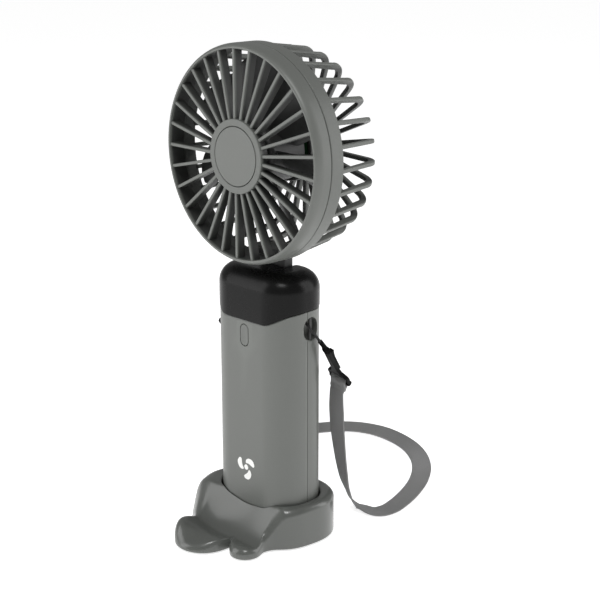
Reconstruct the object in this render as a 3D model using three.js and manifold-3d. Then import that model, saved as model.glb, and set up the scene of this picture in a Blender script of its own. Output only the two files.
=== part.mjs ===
// A rechargeable hand-held fan: a round caged head that folds back on a hinge, a slim handle with a
// wrist strap, and a stand whose two round toes hold a phone against its sloping front.
// Millimetres, +Z up. The origin is on the table under the middle of the handle, and the fan
// blows towards -Y.
import * as THREE from "three";
import { mergeVertices } from "three/addons/utils/BufferGeometryUtils.js";
import Module from "manifold-3d";

const wasm = await Module();
wasm.setup();

// ---------------------------------------------------------------- driving dimensions
const GAP = 0.3; // kept between two pieces that meet

// Handle
const HANDLE_WIDTH = 51;
const HANDLE_DEPTH = 32.4;
const HANDLE_CORNER = 14.4;
const HANDLE_WALL = 1.8;
const HANDLE_FOOT_Z = 8.4;
const LIP_TOP_Z = 118;
const LIP_INSET = 2.2;
const SEAM_FRONT_Z = 109;
const SEAM_RISE = 6.4;
const SEAM_RISE_OVER = 4.2;
const BUTTON_Z = 102;
const BUTTON_WIDTH = 5.2;
const BUTTON_HEIGHT = 10.4;
const USB_Z = 28.6;
const USB_WIDTH = 9.2;
const USB_HEIGHT = 3.4;
const CELL_RADIUS = 9.1;
const CELL_LENGTH = 65;
const CELL_FOOT_Z = 36;

// Cap and hinge
const CAP_TOP_Z = 133;
const CAP_ROUND = 9;
const CAP_WALL = 1.8;
const CAP_OVERHANG = 0.3;
const HINGE_Y = 5.5;
const HINGE_Z = 126;
const PIN_RADIUS = 1.5;
const BARREL_RADIUS = 3.6;
const NECK_HALF_WIDTH = 8.4;

// Head
const HEAD_Z = 186.6;
const HEAD_RADIUS = 50;
const HEAD_FRONT_Y = -19;
const OPENING_RADIUS = 47.5;
const SHELL_SEAM_Y = -10;
const BAND_REAR_Y = -2.6;
const CAGE_REAR_Y = 26;
const SPOKES = 29;
const SPOKE_TURN = THREE.MathUtils.degToRad(9);
const SPOKE_WIDTH = 1.5;
const RIB_WIDTH = 2.0;
const RIB_OUTER_RADIUS = 47;
const RIB_DEPTH = 3.1;
const RIB_BEND = 8.5;
const HUB_RADIUS = 16.9;
const BADGE_RADIUS = 13.4;
const REAR_HUB_RADIUS = 15.5;
const REAR_HUB_FRONT_Y = 12;
const BLADES = 7;
const BLADE_TIP_RADIUS = 43.3;
const IMPELLER_HUB_RADIUS = 14;

// Stand
const RIM_Z = 21;
const SOCKET_FLOOR_Z = 8;
const SOCKET_CLEARANCE = 0.7;
const STAND_FOOT_Z = 0.6;
const STAND_WALL = 2;
const RIM_DIP = 2.2; // how far the rim sinks in the middle of the front
const REST_TOP_Y = -15.8; // where the hollow slope of the phone rest leaves the rim's height
const REST_RUN = 17;
const CHEEK_LEAD = 1.5; // how much further forward the rest starts on the left
const TROUGH_Z = 4.4;
const TROUGH_RISE = 3.6; // how much higher the trough ends on the left
const TOE_INNER_Y = -28.6; // where the trough's floor meets the toes
const TOE_SLOPE = 0.5;
const TOE_CROWN = 0.045;
const SMALL_TOE_Z = 6.8;
const LARGE_TOE_RISE = 7.2;
const REST_BLEND = 1; // how softly the slope of the rest leaves the rim

// Lanyard
const STRAP_WIDTH = 10.4;
const STRAP_THICKNESS = 0.9;
const CORD_RADIUS = 0.6;
const EYE_X = 24.2;
const EYE_Y = 2.7;
const EYE_Z = 106.6;
const CROSSBAR_LENGTH = 12.4;
const STRAP_END_WIDTH = 8.8;
const SLEEVE_RADIUS = 1.2;
const SLEEVE_LENGTH = 4.6;

// ---------------------------------------------------------------- materials
const plastic = (color, roughness) => new THREE.MeshStandardMaterial({ color, roughness, metalness: 0 });
const metal = (color, roughness) => new THREE.MeshStandardMaterial({ color, roughness, metalness: 1 });
const greyShell = plastic(0x777a75, 0.42);
const greyStand = plastic(0x6a6c68, 0.38);
const blackCap = plastic(0x1c1c1d, 0.35);
const darkPlastic = plastic(0x3f413f, 0.5);
const rubber = plastic(0x2b2c2b, 0.85);
const ribbonCloth = plastic(0x646564, 0.8);
const cordCloth = plastic(0x121212, 0.7);
const clipPlastic = plastic(0x171717, 0.4);
const steel = metal(0xb9bbbd, 0.3);
const copper = metal(0xa8643a, 0.4);
const boardGreen = plastic(0x1d4a2d, 0.5);
const cellWrap = plastic(0x2f6f9c, 0.4);

// ---------------------------------------------------------------- solids
// A closed manifold solid from any three.js geometry, turned to face out.
function solidOf(geometry) {
  const loose = geometry.index ? geometry.toNonIndexed() : geometry;
  const bare = new THREE.BufferGeometry();
  bare.setAttribute("position", loose.getAttribute("position").clone());
  const merged = mergeVertices(bare, 1e-4);
  const p = merged.attributes.position;
  const corner = (i) => new THREE.Vector3().fromBufferAttribute(p, i);
  const triangles = [];
  let volume = 0;
  for (let i = 0; i < merged.index.count; i += 3) {
    const [a, b, c] = [0, 1, 2].map((k) => merged.index.getX(i + k));
    if (a === b || b === c || c === a) continue;
    triangles.push([a, b, c]);
    volume += corner(a).dot(corner(b).cross(corner(c)));
  }
  if (volume < 0) triangles.forEach((t) => t.reverse());
  const triVerts = new Uint32Array(triangles.flat());
  return new wasm.Manifold(new wasm.Mesh({ numProp: 3, vertProperties: p.array, triVerts }));
}

function geometryOf(solid) {
  const { vertProperties, triVerts } = solid.getMesh();
  const geometry = new THREE.BufferGeometry();
  geometry.setAttribute("position", new THREE.BufferAttribute(vertProperties, 3));
  geometry.setIndex(new THREE.BufferAttribute(triVerts, 1));
  geometry.computeVertexNormals();
  return geometry;
}

const joined = (...solids) => solids.flat().reduce((a, b) => a.add(b));
const cut = (solid, ...tools) => solid.subtract(joined(...tools));

function block([x0, x1], [y0, y1], [z0, z1]) {
  const box = new THREE.BoxGeometry(x1 - x0, y1 - y0, z1 - z0);
  return solidOf(box.translate((x0 + x1) / 2, (y0 + y1) / 2, (z0 + z1) / 2));
}

// A round bar between two points.
function rod(radius, from, to, sides = 16) {
  const start = new THREE.Vector3(...from);
  const along = new THREE.Vector3(...to).sub(start);
  const bar = new THREE.CylinderGeometry(radius, radius, along.length(), sides);
  const turn = new THREE.Quaternion().setFromUnitVectors(axis(1), along.clone().normalize());
  bar.applyQuaternion(turn).translate(...start.addScaledVector(along, 0.5).toArray());
  return solidOf(bar);
}

// A screw from the top of its head to its tip.
function screw(top, tip, headHeight) {
  const start = new THREE.Vector3(...top);
  const along = new THREE.Vector3(...tip).sub(start).normalize();
  const under = start.clone().addScaledVector(along, headHeight).toArray();
  const neck = start.clone().addScaledVector(along, headHeight / 2).toArray();
  return joined(rod(1.6, top, under, 10), rod(0.8, neck, tip, 6));
}

// A shape drawn in one plane and extruded along the axis across it.
const PLANES = {
  xy: new THREE.Matrix4().makeBasis(axis(0), axis(1), axis(2)),
  yz: new THREE.Matrix4().makeBasis(axis(1), axis(2), axis(0)),
  zx: new THREE.Matrix4().makeBasis(axis(2), axis(0), axis(1)),
};
function axis(i) {
  return new THREE.Vector3().setComponent(i, 1);
}
function prism(plane, outline, from, to) {
  const shape = new THREE.Shape(outline.map(([a, b]) => new THREE.Vector2(a, b)));
  const slab = new THREE.ExtrudeGeometry(shape, { depth: to - from, bevelEnabled: false });
  return solidOf(slab.translate(0, 0, from).applyMatrix4(PLANES[plane]));
}

// A profile of [radius, y] corners turned about the head's axis.
function turned(profile, sides) {
  const points = profile.map(([r, y]) => new THREE.Vector2(r, y));
  return solidOf(new THREE.LatheGeometry(points, sides).translate(0, 0, HEAD_Z));
}
const ringProfile = (inner, outer, y0, y1) =>
  [[inner, y0], [outer, y0], [outer, y1], [inner, y1], [inner, y0]];
const discProfile = (radius, y0, y1) => [[0, y0], [radius, y0], [radius, y1], [0, y1]];

// A skin over rings of points: closed by a fan at both ends, or joined end to start.
function skin(rings, endless = false) {
  const count = rings[0].length;
  const triangles = [];
  const steps = endless ? rings.length : rings.length - 1;
  for (let i = 0; i < steps; i++) {
    const here = rings[i];
    const next = rings[(i + 1) % rings.length];
    for (let j = 0; j < count; j++) {
      const k = (j + 1) % count;
      triangles.push(here[j], here[k], next[k], here[j], next[k], next[j]);
    }
  }
  const fan = (ring, flip) => {
    const middle = [0, 1, 2].map((c) => ring.reduce((sum, p) => sum + p[c], 0) / count);
    ring.forEach((p, j) => {
      const q = ring[(j + 1) % count];
      triangles.push(...(flip ? [middle, q, p] : [middle, p, q]));
    });
  };
  if (!endless) {
    fan(rings[0], true);
    fan(rings.at(-1), false);
  }
  const geometry = new THREE.BufferGeometry();
  return solidOf(geometry.setAttribute("position", new THREE.Float32BufferAttribute(triangles.flat(), 3)));
}

// A rounded rectangle about the origin, as [x, y] corners running counter-clockwise.
function roundedRectangle(width, depth, radius, steps = 5) {
  const corners = [[1, 1, 0], [-1, 1, 90], [-1, -1, 180], [1, -1, 270]];
  return corners.flatMap(([sx, sy, start]) =>
    Array.from({ length: steps + 1 }, (_, i) => {
      const a = THREE.MathUtils.degToRad(start + (90 * i) / steps);
      const x = sx * (width / 2 - radius) + radius * Math.cos(a);
      const y = sy * (depth / 2 - radius) + radius * Math.sin(a);
      return [x, y];
    }),
  );
}
const moved = (outline, dx, dy) => outline.map(([x, y]) => [x + dx, y + dy]);
const handleOutline = (inset, steps) =>
  roundedRectangle(HANDLE_WIDTH - 2 * inset, HANDLE_DEPTH - 2 * inset, HANDLE_CORNER - inset, steps);
const atHeight = (outline, z) => outline.map(([x, y]) => [x, y, z]);

// ---------------------------------------------------------------- the object
const fan = new THREE.Group();
function piece(name, solid, material, group = fan) {
  const mesh = new THREE.Mesh(geometryOf(solid), material);
  mesh.name = name;
  group.add(mesh);
  return mesh;
}

// The seam between handle and cap dips at the front and rises round the corners.
function seamHeight(y) {
  const behindFront = Math.max(0, y + HANDLE_DEPTH / 2);
  return SEAM_FRONT_Z + SEAM_RISE * (1 - Math.exp(-behindFront / SEAM_RISE_OVER));
}
function aboveSeam(offset) {
  const line = [];
  for (let y = -19; y < 24; y += y < -10 ? 1.5 : 8) line.push([y, seamHeight(y) + offset]);
  return prism("yz", [...line, [24, seamHeight(24) + offset], [24, 150], [-19, 150]], -40, 40);
}

function handle() {
  const outer = skin([
    atHeight(handleOutline(0.9), HANDLE_FOOT_Z),
    atHeight(handleOutline(0), HANDLE_FOOT_Z + 0.9),
    atHeight(handleOutline(0), LIP_TOP_Z),
  ]);
  const core = prism("xy", handleOutline(LIP_INSET), HANDLE_FOOT_Z + 1, LIP_TOP_Z);
  const cavity = joined(
    prism("xy", handleOutline(HANDLE_WALL), HANDLE_FOOT_Z + HANDLE_WALL, 99),
    prism("xy", handleOutline(LIP_INSET + 1.6), 90, LIP_TOP_Z + 1),
  );
  const pocketOutline = moved(roundedRectangle(...POCKET_SIZE, POCKET_CORNER, 3), EYE_Y, EYE_Z - POCKET_DROP);
  const pockets = [-1, 1].map((side) => ({
    boss: block(ordered(side * 19, side * 26), [-6, 11.5], [99.6, 114]).intersect(outer),
    hollow: prism("yz", pocketOutline, ...ordered(side * POCKET_FLOOR_X, side * 30)),
    pinHole: rod(1.05, [side * EYE_X, EYE_Y, EYE_Z - 6], [side * EYE_X, EYE_Y, EYE_Z + 6], 8),
  }));
  const bodySolid = joined(cut(outer, aboveSeam(-0.2)), core);
  const screwPosts = SCREW_PLACES.map(([x, z]) => rod(2.6, [x, -20, z], [x, 20, z], 10).intersect(bodySolid));
  const shell = joined(cut(bodySolid, cavity), pockets.map((p) => p.boss), screwPosts);
  const opened = cut(shell, pockets.map((p) => p.hollow), pockets.map((p) => p.pinHole));

  const frontHalf = block([-40, 40], [-40, -GAP / 2], [0, 140]);
  const rearHalf = block([-40, 40], [GAP / 2, 40], [0, 140]);
  const buttonHole = prism("zx", moved(pill(BUTTON_HEIGHT + 0.7, BUTTON_WIDTH + 0.7), BUTTON_Z, 0), -20, -12);
  const usbHole = prism("zx", moved(pill(USB_HEIGHT + 0.7, USB_WIDTH + 0.7), USB_Z, 0), 12, 20);
  const pilotHoles = SCREW_PLACES.map(([x, z]) => rod(1.1, [x, -11, z], [x, 1, z], 10));
  const screwHoles = SCREW_PLACES.flatMap(([x, z]) => [
    rod(1.3, [x, 0, z], [x, 20, z], 10),
    rod(2.1, [x, 11.2, z], [x, 20, z], 12),
  ]);
  piece("handle_front_shell", cut(opened.intersect(frontHalf), buttonHole, pilotHoles), greyShell);
  piece("handle_rear_shell", cut(opened.intersect(rearHalf), usbHole, screwHoles), greyShell);

  [["left", -1], ["right", 1]].forEach(([name, side]) => {
    const eye = rod(0.75, [side * EYE_X, EYE_Y, EYE_Z - 5.8], [side * EYE_X, EYE_Y, EYE_Z + 5.8], 8);
    piece(`lanyard_eye_pin_${name}`, eye, darkPlastic);
  });
  SCREW_PLACES.forEach(([x, z], i) => {
    piece(`handle_screw_${i + 1}`, screw([x, 13, z], [x, -7, z], 1.4), steel);
  });
}
// The pocket beside the eye pin, as width and height of its outline.
const POCKET_SIZE = [10.4, 11];
const POCKET_CORNER = 3;
const POCKET_DROP = 0.4;
const POCKET_FLOOR_X = 20.8;
const SCREW_PLACES = [[-13, 13.2], [13, 13.2], [-17.4, 112], [17.4, 112]];
const ordered = (a, b) => (a < b ? [a, b] : [b, a]);
// A slot outline with round ends, long along its first axis when a is the larger.
const pill = (a, b) => roundedRectangle(a, b, Math.min(a, b) / 2 - 0.01, 5);

function electronics() {
  const buttonOutline = moved(pill(BUTTON_HEIGHT, BUTTON_WIDTH), BUTTON_Z, 0);
  piece("power_button", prism("zx", buttonOutline, -HANDLE_DEPTH / 2 - 0.1, -13.8), greyShell);
  const stem = rod(1.2, [0, -12.6, BUTTON_Z], [0, -11.6, BUTTON_Z], 12);
  const switchBody = joined(block([-3, 3], [-11.7, -10.4], [BUTTON_Z - 3, BUTTON_Z + 3]), stem);
  piece("button_switch", switchBody, darkPlastic);
  // The switch board sits over the cell, in front of the hinge bracket's foot.
  piece("switch_board", block([-7, 7], [-10.1, -9.5], [CELL_FOOT_Z + CELL_LENGTH - 9, 112]), boardGreen);
  const cell = joined(
    rod(CELL_RADIUS, [0, 0.6, CELL_FOOT_Z], [0, 0.6, CELL_FOOT_Z + CELL_LENGTH - 1], 24),
    rod(3, [0, 0.6, CELL_FOOT_Z], [0, 0.6, CELL_FOOT_Z + CELL_LENGTH], 12),
  );
  piece("battery_cell", cell, cellWrap);
  piece("control_board", block([-15, 15], [-11, 12], [USB_Z - 3.6, USB_Z - 2.2]), boardGreen);
  const socketShell = prism("zx", moved(pill(USB_HEIGHT, USB_WIDTH), USB_Z, 0), 8.6, 15.9);
  const socketMouth = prism("zx", moved(pill(USB_HEIGHT - 0.7, USB_WIDTH - 0.7), USB_Z, 0), 10, 17);
  const tongue = block([-3.2, 3.2], [9.8, 15], [USB_Z - 0.35, USB_Z + 0.35]);
  piece("usb_socket", joined(cut(socketShell, socketMouth), tongue), steel);
}

function cap() {
  const dome = (extra, top) => {
    const rings = [atHeight(handleOutline(extra, 5), 100)];
    for (let i = 0; i <= 4; i++) {
      const a = (Math.PI / 2) * (i / 4);
      const inset = extra + CAP_ROUND * (1 - Math.cos(a));
      rings.push(atHeight(handleOutline(inset, 5), top - CAP_ROUND + CAP_ROUND * Math.sin(a)));
    }
    return skin(rings);
  };
  const outer = dome(-CAP_OVERHANG, CAP_TOP_Z);
  const inner = dome(CAP_WALL - CAP_OVERHANG, CAP_TOP_Z - CAP_WALL);
  const floorOfSlot = HINGE_Z - BARREL_RADIUS - 0.3;
  const slotHalfWidth = NECK_HALF_WIDTH + 0.8;
  const slotFront = HINGE_Y - BARREL_RADIUS - 0.6;
  const slot = block([-slotHalfWidth, slotHalfWidth], [slotFront, 30], [floorOfSlot, 150]);
  piece("neck_cap", cut(outer.intersect(aboveSeam(0.2)), inner, slot), blackCap);
}

function hinge() {
  const earInner = NECK_HALF_WIDTH + 1.5;
  const earOuter = earInner + 2.6;
  const earOutline = (side) => {
    const top = Array.from({ length: 9 }, (_, i) => {
      const a = (Math.PI * i) / 8;
      return [HINGE_Y + 4.2 * Math.cos(a), HINGE_Z + 4.2 * Math.sin(a)];
    });
    const outline = [[HINGE_Y - 4.2, LIP_TOP_Z + 1], [HINGE_Y + 4.2, LIP_TOP_Z + 1], ...top];
    return prism("yz", outline, ...ordered(side * earInner, side * earOuter));
  };
  const foot = block([-15, 15], [-4, HINGE_Y + 5], [LIP_TOP_Z + 0.5, LIP_TOP_Z + 2.5]);
  const bore = rod(PIN_RADIUS + GAP, [-20, HINGE_Y, HINGE_Z], [20, HINGE_Y, HINGE_Z], 16);
  piece("hinge_bracket", cut(joined(foot, earOutline(-1), earOutline(1)), bore), steel);
  piece("hinge_pin", rod(PIN_RADIUS, [-13.2, HINGE_Y, HINGE_Z], [13.2, HINGE_Y, HINGE_Z], 16), steel);
  [["left", -1], ["right", 1]].forEach(([name, side]) => {
    const [x0, x1] = ordered(side * (NECK_HALF_WIDTH + GAP), side * (earInner - GAP));
    const disc = rod(3.4, [x0, HINGE_Y, HINGE_Z], [x1, HINGE_Y, HINGE_Z], 16);
    piece(`friction_washer_${name}`, cut(disc, bore), steel);
  });

  const barrelEnds = [-1, 1].map((side) => [side * NECK_HALF_WIDTH, HINGE_Y, HINGE_Z]);
  const barrel = rod(BARREL_RADIUS, ...barrelEnds, 20);
  const armWidth = [-NECK_HALF_WIDTH, NECK_HALF_WIDTH];
  const arm = block(armWidth, [HINGE_Y - 3.3, HINGE_Y + 1.7], [HINGE_Z, NECK_TOP_Z]);
  const screwHoles = NECK_SCREW_X.map((x) => rod(1.1, [x, NECK_SCREW_Y, 129.9], [x, NECK_SCREW_Y, 140], 10));
  piece("neck_arm", cut(joined(barrel, arm), bore, screwHoles), darkPlastic);
  NECK_SCREW_X.forEach((x, i) => {
    piece(`neck_screw_${i + 1}`, screw([x, NECK_SCREW_Y, 141.8], [x, NECK_SCREW_Y, 130.4], 1.4), steel);
  });
}
const NECK_TOP_Z = 137;
const NECK_SCREW_X = [-5, 5];
const NECK_SCREW_Y = 4.7;

// A flat shape in a plane through the head's axis, as [radius, y] corners, given a width across
// that plane and turned by an angle about the axis, clockwise from the top as the front is seen.
function fin(outline, width, angle) {
  const shape = new THREE.Shape(outline.map(([r, y]) => new THREE.Vector2(r, y)));
  const slab = new THREE.ExtrudeGeometry(shape, { depth: width, bevelEnabled: false });
  const upright = new THREE.Matrix4().makeBasis(axis(2), axis(1), axis(0).negate());
  slab.translate(0, 0, -width / 2).applyMatrix4(upright);
  return solidOf(slab.rotateY(angle).translate(0, 0, HEAD_Z));
}

function frontGrille() {
  const ring = turned([
    [OPENING_RADIUS, HEAD_FRONT_Y + 0.5], [OPENING_RADIUS + 0.5, HEAD_FRONT_Y],
    [HEAD_RADIUS - 1.2, HEAD_FRONT_Y + 0.6], [HEAD_RADIUS - 0.3, HEAD_FRONT_Y + 2.4],
    [HEAD_RADIUS, HEAD_FRONT_Y + 4.6], [HEAD_RADIUS, SHELL_SEAM_Y - GAP / 2],
    [OPENING_RADIUS, SHELL_SEAM_Y - GAP / 2], [OPENING_RADIUS, HEAD_FRONT_Y + 0.5],
  ], 58);
  const hub = turned([
    [0, -19.7], [BADGE_RADIUS + 0.3, -19.7], [BADGE_RADIUS + 0.3, -20.6], [HUB_RADIUS - 0.8, -20.6],
    [HUB_RADIUS, -19.9], [HUB_RADIUS, -16], [HUB_RADIUS - 1.6, -16], [HUB_RADIUS - 1.6, -18.2], [0, -18.2],
  ], 29);
  const spokeOutline = [
    [HUB_RADIUS - 1, -19.8], [OPENING_RADIUS + 0.8, HEAD_FRONT_Y + 0.7],
    [OPENING_RADIUS + 0.8, -13.4], [HUB_RADIUS - 1, -15.4],
  ];
  const spokes = Array.from({ length: SPOKES }, (_, i) =>
    fin(spokeOutline, SPOKE_WIDTH, SPOKE_TURN + (2 * Math.PI * i) / SPOKES),
  );
  piece("front_grille", joined(ring, hub, spokes), greyShell);
  piece("hub_badge", turned(discProfile(BADGE_RADIUS, -20.6, -20), 29), greyShell);
}

function rearGrille() {
  const band = turned(ringProfile(HEAD_RADIUS - 2.1, HEAD_RADIUS, SHELL_SEAM_Y + GAP / 2, BAND_REAR_Y), 58);
  const hub = turned([
    [3.4, 1], [4.2, 1], [4.2, CAGE_REAR_Y - 2], [REAR_HUB_RADIUS - 2, CAGE_REAR_Y - 2],
    [REAR_HUB_RADIUS - 2, REAR_HUB_FRONT_Y], [REAR_HUB_RADIUS, REAR_HUB_FRONT_Y],
    [REAR_HUB_RADIUS, CAGE_REAR_Y - 1.2],
    [REAR_HUB_RADIUS - 1.2, CAGE_REAR_Y],
    [0, CAGE_REAR_Y], [0, CAGE_REAR_Y - 2], [3.4, CAGE_REAR_Y - 2], [3.4, 1],
  ], 32);
  // Each rib runs back from the band, turns in over a round elbow and meets the hub.
  const elbow = (radius, steps) =>
    Array.from({ length: steps + 1 }, (_, i) => {
      const a = (Math.PI / 2) * (i / steps);
      return [
        RIB_OUTER_RADIUS - RIB_BEND + radius * Math.cos(a),
        CAGE_REAR_Y - RIB_BEND + radius * Math.sin(a),
      ];
    });
  const footY = BAND_REAR_Y - 1.5;
  const ribOutline = [
    [HEAD_RADIUS - 0.2, footY],
    ...elbow(RIB_BEND, 4),
    [REAR_HUB_RADIUS - 1, CAGE_REAR_Y],
    [REAR_HUB_RADIUS - 1, CAGE_REAR_Y - RIB_DEPTH],
    ...elbow(RIB_BEND - RIB_DEPTH, 3).reverse(),
    [HEAD_RADIUS - RIB_DEPTH + 0.7, footY],
  ];
  const ribs = Array.from({ length: SPOKES }, (_, i) =>
    fin(ribOutline, RIB_WIDTH, Math.PI + (2 * Math.PI * i) / SPOKES),
  );
  const boss = block([-9.5, 9.5], [BAND_REAR_Y - 1, 9], [NECK_TOP_Z + GAP, 142.2]);
  const screwHoles = NECK_SCREW_X.flatMap((x) => [
    rod(1.1, [x, NECK_SCREW_Y, 130], [x, NECK_SCREW_Y, 145], 10),
    rod(1.9, [x, NECK_SCREW_Y, 140.1], [x, NECK_SCREW_Y, 145], 12),
  ]);
  piece("rear_grille", cut(joined(band, hub, ribs, boss), screwHoles), greyShell);
}

function motor() {
  const alongAxis = (radius, y0, y1, sides) => rod(radius, [0, y0, HEAD_Z], [0, y1, HEAD_Z], sides);
  piece("bearing_front", turned(ringProfile(1.5, 3.1, 1.6, 4.4), 20), steel);
  piece("bearing_rear", turned(ringProfile(1.5, 3.1, 16, 18.8), 20), steel);
  const poleOutline = [[4.9, -1.5], [9.6, -1.5], [9.6, 6], [4.9, 6]];
  const poles = Array.from({ length: 6 }, (_, i) => fin(poleOutline, 3, (Math.PI * i) / 3));
  piece("motor_stator", joined(turned(ringProfile(4.5, 6, -1.5, 6), 24), poles), copper);
  piece("motor_board", turned(ringProfile(4.6, 12.6, 12.6, 13.8), 28), boardGreen);

  piece("motor_shaft", alongAxis(1.2, -9, 19.4, 12), steel);
  const can = turned([
    [1.5, -4.2], [11.4, -4.2], [11.4, 8.6], [10.3, 8.6], [10.3, -3], [1.5, -3], [1.5, -4.2],
  ], 32);
  piece("rotor_can", can, steel);
  const hub = turned([
    [1.5, -11], [8, -12.4], [12.6, -11.6], [IMPELLER_HUB_RADIUS, -9.6], [IMPELLER_HUB_RADIUS, 10],
    [IMPELLER_HUB_RADIUS - 1.6, 10], [IMPELLER_HUB_RADIUS - 1.6, -4.6], [1.5, -4.6], [1.5, -11],
  ], 28);
  const blades = Array.from({ length: BLADES }, (_, i) => blade((2 * Math.PI * i) / BLADES));
  piece("impeller", joined(hub, blades), darkPlastic);
}

// One impeller blade: a cambered plate whose pitch flattens and whose chord grows towards the tip.
function blade(turn) {
  const stations = 4;
  const rings = Array.from({ length: stations }, (_, i) => {
    const t = i / (stations - 1);
    const radius = THREE.MathUtils.lerp(IMPELLER_HUB_RADIUS - 0.8, BLADE_TIP_RADIUS, t);
    const halfChord = THREE.MathUtils.lerp(9, 13, Math.sin((t * Math.PI) / 2));
    const pitch = THREE.MathUtils.degToRad(THREE.MathUtils.lerp(50, 30, t));
    const side = (offset) => [-1, -0.4, 0.4, 1].map((s) => {
      const across = s * halfChord;
      const camber = 1.8 * (1 - s * s) + offset;
      const y = across * Math.sin(pitch) - camber * Math.cos(pitch);
      const sweep = turn + (across * Math.cos(pitch) + camber * Math.sin(pitch)) / radius;
      return [radius * Math.sin(sweep), y - 0.6, HEAD_Z + radius * Math.cos(sweep)];
    });
    return [...side(0.6), ...side(-0.6).reverse()];
  });
  return skin(rings);
}

// ---------------------------------------------------------------- stand
// Round lobes [x, y, radius] that melt together into the stand's outline.
const LOBES = [
  [12.8, 4.5, 18.8], [13.5, -5, 16.8], [12, -20, 9.4], [-15, 1, 17.6], [-18, -11.6, 18.2], [3, -14, 16.5],
  [-14.5, -26, 10], [-8.6, -36.3, 14], [15.5, -31.5, 7.4], [-1, 2.5, 18.6],
];
const MELT = 1.6;
// Signed distance outside the melted lobes, shrunk by an inset.
function outsideLobes(x, y, inset) {
  const sum = LOBES.reduce((s, [cx, cy, r]) => s + Math.exp(-(Math.hypot(x - cx, y - cy) - r) / MELT), 0);
  return -MELT * Math.log(sum) + inset;
}
function outlineRadius(angle, inset) {
  let [inside, outside] = [10, 70];
  for (let i = 0; i < 30; i++) {
    const middle = (inside + outside) / 2;
    if (outsideLobes(middle * Math.cos(angle), middle * Math.sin(angle), inset) < 0) inside = middle;
    else outside = middle;
  }
  return inside;
}
const softMax = (a, b, k) => Math.max(a, b) + k * Math.log(1 + Math.exp(-Math.abs(a - b) / k));
const softMin = (a, b, k) => -softMax(-a, -b, k);
// Height of the stand's top: the rim, the hollow slope of the rest, the trough and the two toes.
function standTop(x, y) {
  const trough = TROUGH_Z + TROUGH_RISE * Math.exp(-(((x + 26) / 8) ** 2));
  const start = REST_TOP_Y - CHEEK_LEAD / (1 + Math.exp((x + 17) / 6));
  const rim = RIM_Z - RIM_DIP * Math.exp(-(((x - 1) / 12) ** 2) - ((y + 18) / 7) ** 2);
  const slope = trough + (rim - trough) * Math.max(0, 1 - (start - y) / REST_RUN) ** 2;
  const rest = softMin(rim, slope, REST_BLEND);
  const ridgeY = -36 - 2.5 * Math.tanh((5 - x) / 4);
  const ridgeZ = SMALL_TOE_Z + LARGE_TOE_RISE * Math.exp(-(((x + 22) / 11) ** 2));
  const toeTop = ridgeZ - TOE_CROWN * (y - ridgeY) ** 2;
  const toes = softMin(toeTop, trough - TOE_SLOPE * (y - TOE_INNER_Y), 1.6);
  return softMax(softMax(rest, toes, 0.7), trough, 0.4);
}
// The edge is rounded most on the left of the stand and of the large toe, and least on the right.
function edgeRound(x, y) {
  const leftSide = 6.5 * Math.exp(-(((x + 32) / 13) ** 2) - ((y + 20) / 12) ** 2);
  const rightFront = 1.4 * Math.exp(-(((x - 25) / 9) ** 2) - ((y + 16) / 9) ** 2);
  const largeToe = 3 * Math.exp(-(((x + 20) / 11) ** 2) - ((y + 42) / 12) ** 2);
  return 3 + leftSide + rightFront + largeToe;
}

// The stand's skin is drawn along rays from its middle. In front, its rings follow these lines
// across the rest, the trough and the toes; elsewhere they gather inside the rounded edge.
const FRONT_LINES = [-15.2, -16.2, -18.2, -20.4, -22.8, -25.4, -28.2, -31, -34, -37, -40.6];
const GATHERED_STEP = 0.014;
const FRONT_RAY_STEP = 3;
const OTHER_RAY_STEP = 8;

function standRays() {
  const rays = [];
  for (let a = -150; a < 210; a += a < -30 ? FRONT_RAY_STEP : OTHER_RAY_STEP) {
    rays.push(THREE.MathUtils.degToRad(a));
  }
  return rays;
}

function standForm() {
  const rays = standRays();
  const layers = [];
  const ring = (place) => {
    layers.push(rays.map((angle) => {
      const [r, z] = place(angle, outlineRadius(angle, 0));
      const [x, y] = [r * Math.cos(angle), r * Math.sin(angle)];
      return [x, y, z ?? standTop(x, y)];
    }));
  };
  const roundAt = (angle, reach) => {
    const [x, y] = [reach * Math.cos(angle), reach * Math.sin(angle)];
    return Math.min(edgeRound(x, y), Math.max(1, standTop(x, y) - 1.5));
  };
  ring((angle, reach) => [reach - 0.8, STAND_FOOT_Z]);
  ring((angle, reach) => [reach, STAND_FOOT_Z + 0.8]);
  for (let i = 0; i <= 3; i++) {
    const a = (Math.PI / 2) * (i / 3);
    ring((angle, reach) => {
      const round = roundAt(angle, reach);
      const r = reach - round * (1 - Math.cos(a)) - 0.3;
      return [r, standTop(r * Math.cos(angle), r * Math.sin(angle)) - round * (1 - Math.sin(a))];
    });
  }
  const inside = (angle, reach) => reach - roundAt(angle, reach) - 0.3;
  [...FRONT_LINES].reverse().forEach((line, i) => {
    ring((angle, reach) => {
      const crossing = Math.sin(angle) < -0.1 ? line / Math.sin(angle) : Infinity;
      return [Math.min(inside(angle, reach) * (1 - GATHERED_STEP * (i + 1)), crossing)];
    });
  });
  ring(() => [8]);
  return skin(layers);
}

const evenAngles = (count) => Array.from({ length: count }, (_, i) => (2 * Math.PI * i) / count);

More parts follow.
